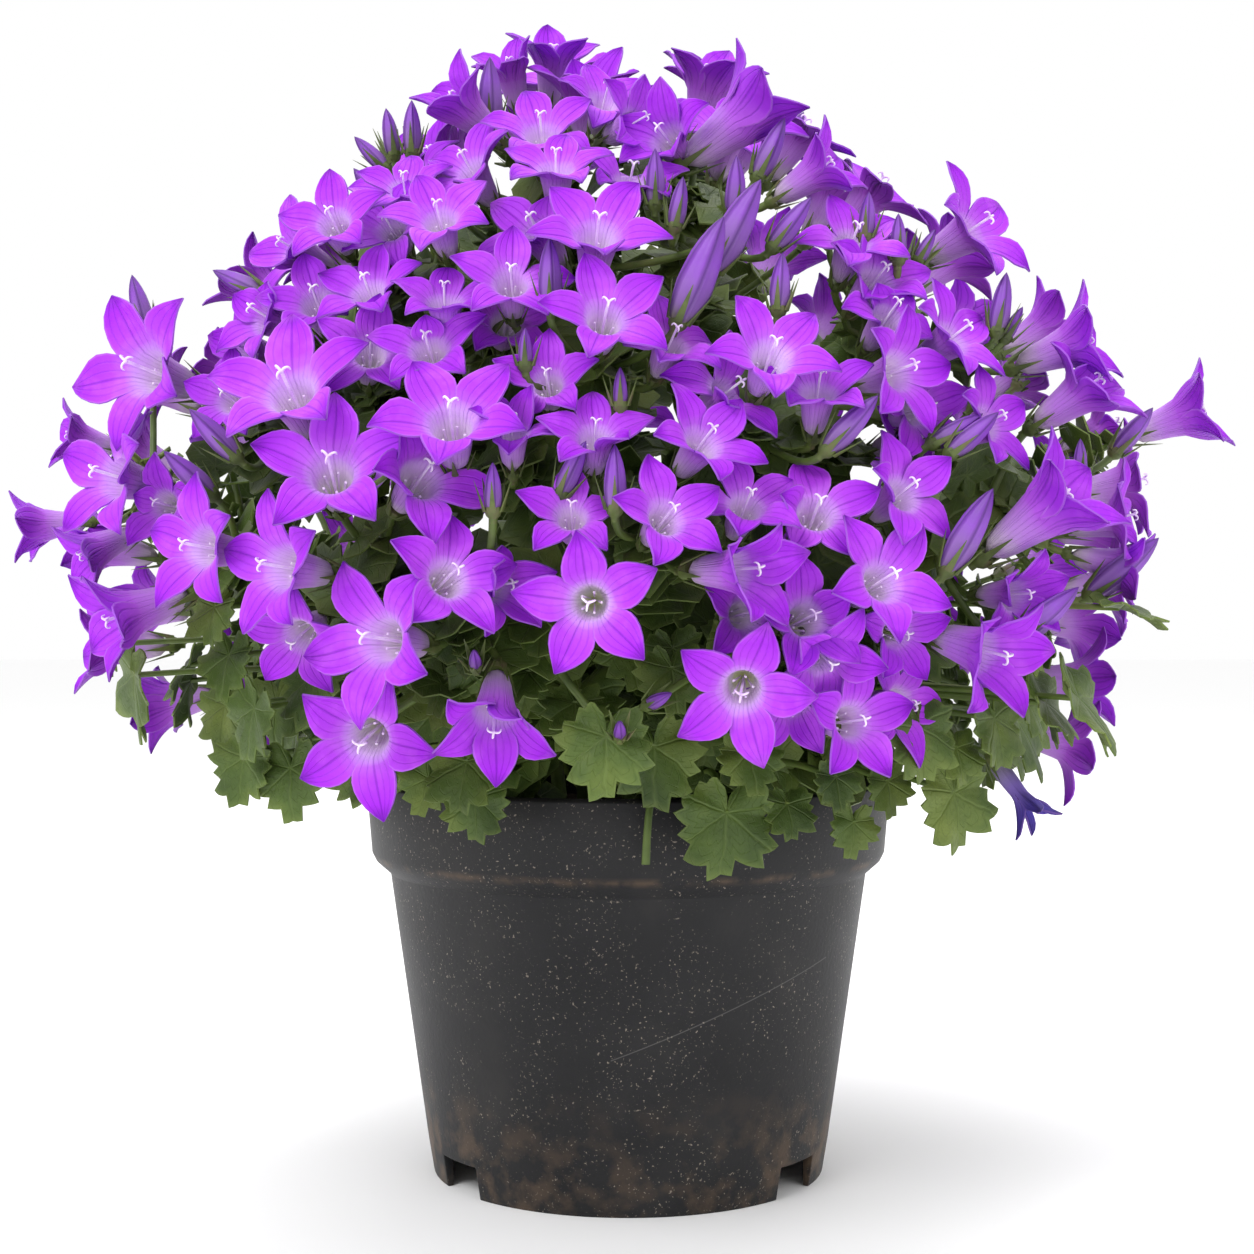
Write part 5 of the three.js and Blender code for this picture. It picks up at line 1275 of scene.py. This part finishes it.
def flower_points(lobe, side, far, row, seed):
    """Places of a flower's points, from its throat's place, its way, its size and its petals."""
    x, y, z, turn, lift, roll, size, form, letters = row
    chance = random.Random(seed)
    out, up, right = facing(turn, lift)
    tube_step = np.clip(far / tube_share, 0, 1)
    steps, radii = zip(*tube_radii)
    narrow = 0.45 if form == "withered" else 1.0
    radius = np.interp(tube_step, steps, radii) * (1 + (narrow - 1) * tube_step)
    high = -flower_tube * 1000 * (1 - tube_step)
    ridge = 0.22 * np.cos(np.radians(36 * side) * 5) * tube_step * (1 - tube_step)
    radius = radius + ridge
    tube_along, tube_aside = radius * np.cos(
        np.radians(36 * side)
    ), radius * np.sin(np.radians(36 * side))
    out_share = np.clip((far - tube_share) / (1 - tube_share), 0, 1)
    steps, widths = zip(*petal_widths)
    along, aside, raised = tube_along.copy(), tube_aside.copy(), high.copy()
    for k in range(5):
        letter = letters[k]
        mine = (lobe == k) & (far > tube_share + 1e-4)
        number = ord(letter) - ord("a") if letter != "-" else left_out_petal
        stretch, bend = petal_stretches[
            number // len(petal_bends)
        ], petal_bends[number % len(petal_bends)]
        low, top = petal_leans[form]
        jitter = chance.uniform(-7, 6)
        fine = np.linspace(0, 1, 41)
        lean = np.radians((low - 8) + (top - low + 22) * fine ** 1.15 + bend + jitter)
        length = petal_sizes["length"] * (0.5 + 0.5 * stretch) * stretch * chance.uniform(0.96, 1.04)
        run = np.concatenate([[0], np.cumsum((np.sin(lean)[1:] + np.sin(lean)[:-1]) / 2)]) / 40 * length
        rise = np.concatenate(
            [[0], np.cumsum((np.cos(lean)[1:] + np.cos(lean)[:-1]) / 2)]
        ) / 40 * length
        s, u = out_share[mine], side[mine]
        lean_at = np.interp(s, fine, lean)
        throat = petal_sizes["throat"] * narrow
        start = throat * math.cos(math.radians(36))
        wide = np.interp(s, steps, widths) * (0.75 + 0.25 * stretch) * (1 - (1 - narrow) * (1 - s) ** 2)
        if form == "withered":
            wide = wide * 0.5
        hump = np.clip(np.sin(np.pi * s), 0, 1) ** 0.8
        twist = chance.uniform(-0.10, 0.10)
        ruffle = 0.6 * np.sin(s * chance.uniform(5, 9) + chance.uniform(0, 6)) * u * np.abs(u) * hump
        lifted = (1.0 * u ** 2 - 0.7 * (1 - np.abs(u)) ** 3) * hump + ruffle + 0.45
        lifted = lifted * np.clip(s * 4, 0, 1)
        along[mine] = start + (
            throat * np.cos(np.radians(36 * u)) - start
        ) * (1 - s) ** 2 + np.interp(s, fine, run) - lifted * np.cos(lean_at)
        aside[mine] = u * wide + twist * np.interp(s, fine, run) * hump
        raised[mine] = np.interp(s, fine, rise) + lifted * np.sin(lean_at)
    middle = math.radians(roll) + np.radians(72 * lobe)
    along, aside, raised = along * size / 1000, aside * size / 1000, raised * size / 1000
    to_up = np.cos(middle) * along - np.sin(middle) * aside
    to_right = np.sin(middle) * along + np.cos(middle) * aside
    throat_place = np.array((x, y, z)) / 1000
    return throat_place[None] + to_up[
        :, None,
    ] * np.array(up) + to_right[:, None] * np.array(right) + raised[:, None] * np.array(out)


def placed_on(master, local, place, out, up, right, size):
    """Places of a small piece's points, turned to face out."""
    local = local * size
    points = np.array(place)[None] + local[:, :1] * np.array(right) + local[
        :, 1:2,
    ] * np.array(up) + local[:, 2:3] * np.array(out)
    return copy_of(master, points)


def places_of(master):
    flat = np.empty(len(master.data.vertices) * 3, dtype=np.float32)
    master.data.vertices.foreach_get("co", flat)
    return flat.reshape(-1, 3).astype(float)


# The calyx: a small green cup under each flower and bud, with five narrow pointed sepals.
none_selected()
bpy.ops.mesh.primitive_cylinder_add(
    vertices=10, radius=0.0009, depth=0.001, location=(0, 0, -0.0030), end_fill_type="NGON",
)
cup = bpy.context.object
bpy.ops.object.mode_set(mode="EDIT")
bpy.ops.mesh.select_mode(type="FACE")
bpy.ops.mesh.select_all(action="DESELECT")
bpy.ops.object.mode_set(mode="OBJECT")
for face in cup.data.polygons:
    face.select = face.normal.z > 0.9
bpy.ops.object.mode_set(mode="EDIT")
for rise, grow, level in ((0.0009, 2.0, -0.0016), (0.0012, 1.25, -0.0004), (0.0010, 0.9, 0.0006)):
    bpy.ops.mesh.extrude_region_move(TRANSFORM_OT_translate={"value": (0, 0, rise)})
    bpy.ops.transform.resize(value=(grow, grow, 1), center_override=(0, 0, level))
bpy.ops.object.mode_set(mode="OBJECT")
settled(cup, "cup")
sepals = [cup]
sepal_length = 0.0078
for k in range(5):
    angle = math.radians(36 + 72 * k)
    none_selected()
    bpy.ops.mesh.primitive_cone_add(
        vertices=6, radius1=0.0010, radius2=0.00008, depth=sepal_length, location=(0, 0, 0),
    )
    tongue = bpy.context.object
    tongue.data.transform(Matrix.Translation((0, 0, sepal_length / 2)))
    for vertex in tongue.data.vertices:
        share = vertex.co.z / sepal_length
        vertex.co.y *= 0.45
        vertex.co.y += 0.0022 + 0.0026 * share ** 1.5
        vertex.co.z -= 0.0006
    tongue.data.transform(Matrix.Rotation(angle, 4, "Z"))
    sepals.append(settled(tongue, "sepal"))
calyx = joined_as("calyx", sepals)
calyx.data.materials.append(sepal)
calyx_places = places_of(calyx)

# The style: a slender white column from the flower's foot, with three curled lobes at its end,
# and five short cream stamens round it.
style_runs = [
    (
        [
            Vector((0, 0, -0.0115)),
            Vector((0.0002, 0, -0.006)),
            Vector((-0.0003, 0.0003, 0)),
            Vector((0, 0.0004, 0.0062)),
        ],
        (0.00045, 0.00034, 0.00032, 0.00036),
    )
]
for k in range(3):
    a = math.radians(120 * k + 20)
    away = Vector((math.cos(a), math.sin(a), 0))
    style_runs.append(
        (
            [
                Vector((0, 0.0004, 0.0060)),
                away * 0.0008 + Vector((0, 0.0004, 0.0073)),
                away * 0.0019 + Vector((0, 0.0004, 0.0070)),
                away * 0.0017 + Vector((0, 0.0004, 0.0060)),
            ],
            (0.00034, 0.00028, 0.00024, 0.00018),
        )
    )
for k in range(5):
    a = math.radians(72 * k)
    away = Vector((math.cos(a), math.sin(a), 0))
    style_runs.append(
        (
            [
                Vector((0, 0, -0.0115)) + away * 0.0008,
                away * 0.0016 + Vector((0, 0, -0.006)),
                away * 0.0024 + Vector((0, 0, -0.0028)),
            ],
            (0.00020, 0.00022, 0.00030),
        )
    )
style = tubes_of("style", style_runs)
style.data.materials.append(cream)
style_places = places_of(style)

# The bud: a closed spindle of five folded petals with dark ridges, on a calyx of its own.
bud_skin, tree, shader = new_material("bud", 0.5)
uv = node_of(tree, "ShaderNodeUVMap", uv_map="UVMap").outputs[0]
axes = node_of(tree, "ShaderNodeSeparateXYZ", {0: uv})
ridge = placed_group(tree, ridged, Value=axes.outputs["X"], Sharpness=5.0)["Line"]
skin = ramp_of(
    plus(axes.outputs["Y"], times(minus(noise_of(tree, 90, 3), 0.5), 0.5)),
    [
        (0.1, (0.15, 0.16, 0.06)), (0.30, (0.24, 0.12, 0.38)), (0.60, (0.22, 0.050, 0.46)),
        (0.95, (0.09, 0.012, 0.22)),
    ],
)
tree.links.new(mixed(times(ridge, 0.75), skin, (0.07, 0.010, 0.17)), shader.inputs["Base Color"])
tree.links.new(
    placed_group(
        tree, grained, Grain=0.2, Height=times(ridge, -1), Strength=0.6, Distance=0.0004,
    )["Normal"],
    shader.inputs["Normal"],
)
none_selected()
bpy.ops.mesh.primitive_uv_sphere_add(segments=20, ring_count=12, radius=0.5, calc_uvs=True)
bud_master = settled(bpy.context.object, "bud")
bud_master.data.materials.append(bud_skin)
smoothed(bud_master, 80)
bud_places = places_of(bud_master)
level = np.clip(bud_places[:, 2] + 0.5, 0, 1)
turned = np.arctan2(bud_places[:, 1], bud_places[:, 0])
girth = np.interp(
    level,
    (0, 0.05, 0.18, 0.38, 0.6, 0.8, 0.94, 1),
    (0.02, 0.09, 0.132, 0.152, 0.136, 0.095, 0.036, 0.0),
)
girth = girth * (1 + 0.13 * np.cos(5 * turned + 1.5 * level))
bud_places[:, 0], bud_places[:, 1], bud_places[:, 2] = girth * np.cos(
    turned
), girth * np.sin(turned), level

# Large flowers at the front have finer petals than small ones and those at the back.
full_flower = corolla_master("full-flower", 6, 13)
plain_flower = corolla_master("plain-flower", 4, 8)
fine_from_size, fine_before_depth = 0.7, 20
flower_stalk_radii = (0.00105, 0.0009, 0.00085, 0.0009)
bud_stalk_radii = (0.00095, 0.0008, 0.0008, 0.0009)

for number, (fork_place, stem_number, shoot, flowers, buds) in enumerate([withered_row, *spray_rows]):
    fork_place = in_metres(fork_place)
    name = str(number) if number else "withered"
    corollas, small_parts, runs = [], [], []
    for i, row in enumerate(flowers):
        throat, depth, size = in_metres(row[0:3]), row[1], row[6]
        fine = size > fine_from_size and depth < fine_before_depth
        master, lobe, side, far = full_flower if fine else plain_flower
        corollas.append(copy_of(master, flower_points(lobe, side, far, row, number * 100 + i)))
        out, up, right = facing(row[3], row[4])
        base = throat - out * flower_tube * size
        small_parts.append(placed_on(calyx, calyx_places, base - out * 0.0004, out, up, right, size))
        if number:
            small_parts.append(placed_on(style, style_places, throat, out, up, right, size))
        far_way = (fork_place - base).length
        runs.append(
            (
                [
                    fork_place,
                    fork_place.lerp(base, 0.4) - out * 0.1 * far_way,
                    base - out * min(0.006, 0.35 * far_way),
                    base - out * 0.0014,
                ],
                flower_stalk_radii,
            )
        )
    for row in buds:
        out, up, right = facing(row[3], row[4])
        length = row[5] / 1000
        base = in_metres(row[0:3]) - out * row[5] / 2000
        small_parts.append(placed_on(bud_master, bud_places, base, out, up, right, length))
        calyx_size = 0.62 + row[5] / 60
        small_parts.append(
            placed_on(calyx, calyx_places, base + out * 0.0018, out, up, right, calyx_size)
        )
        far_way = (fork_place - base).length
        runs.append(
            (
                [
                    fork_place,
                    fork_place.lerp(base, 0.4) - out * 0.1 * far_way,
                    base - out * min(0.005, 0.35 * far_way),
                    base,
                ],
                bud_stalk_radii,
            )
        )
    blooms = joined_as(f"blooms-{name}", corollas)
    none_selected()
    blooms.select_set(True)
    bpy.context.view_layer.objects.active = blooms
    bpy.ops.object.mode_set(mode="EDIT")
    bpy.ops.mesh.select_all(action="SELECT")
    bpy.ops.mesh.remove_doubles(threshold=2e-6)
    bpy.ops.object.mode_set(mode="OBJECT")
    finished_with(
        blooms,
        "SOLIDIFY",
        thickness=petal_sizes["thickness"],
        offset=-1,
        material_offset=1,
        material_offset_rim=1,
    )
    smoothed(blooms, 75)
    if not number:
        blooms.data.materials[0] = shrivelled
        blooms.data.materials[1] = shrivelled
    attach(blooms, "root")
    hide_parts(f"bloom-spray-{number}" if number else "withered-bloom")
    stalks = tubes_of(f"stalks-{name}", runs)
    stalks.data.materials.append(green)
    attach(stalks, "root")
    trims = joined_as(f"calyces-and-buds-{name}", small_parts)
    smoothed(trims, 70)
    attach(trims, "root")
for master in (full_flower[0], plain_flower[0], calyx, style, bud_master):
    bpy.data.objects.remove(master)
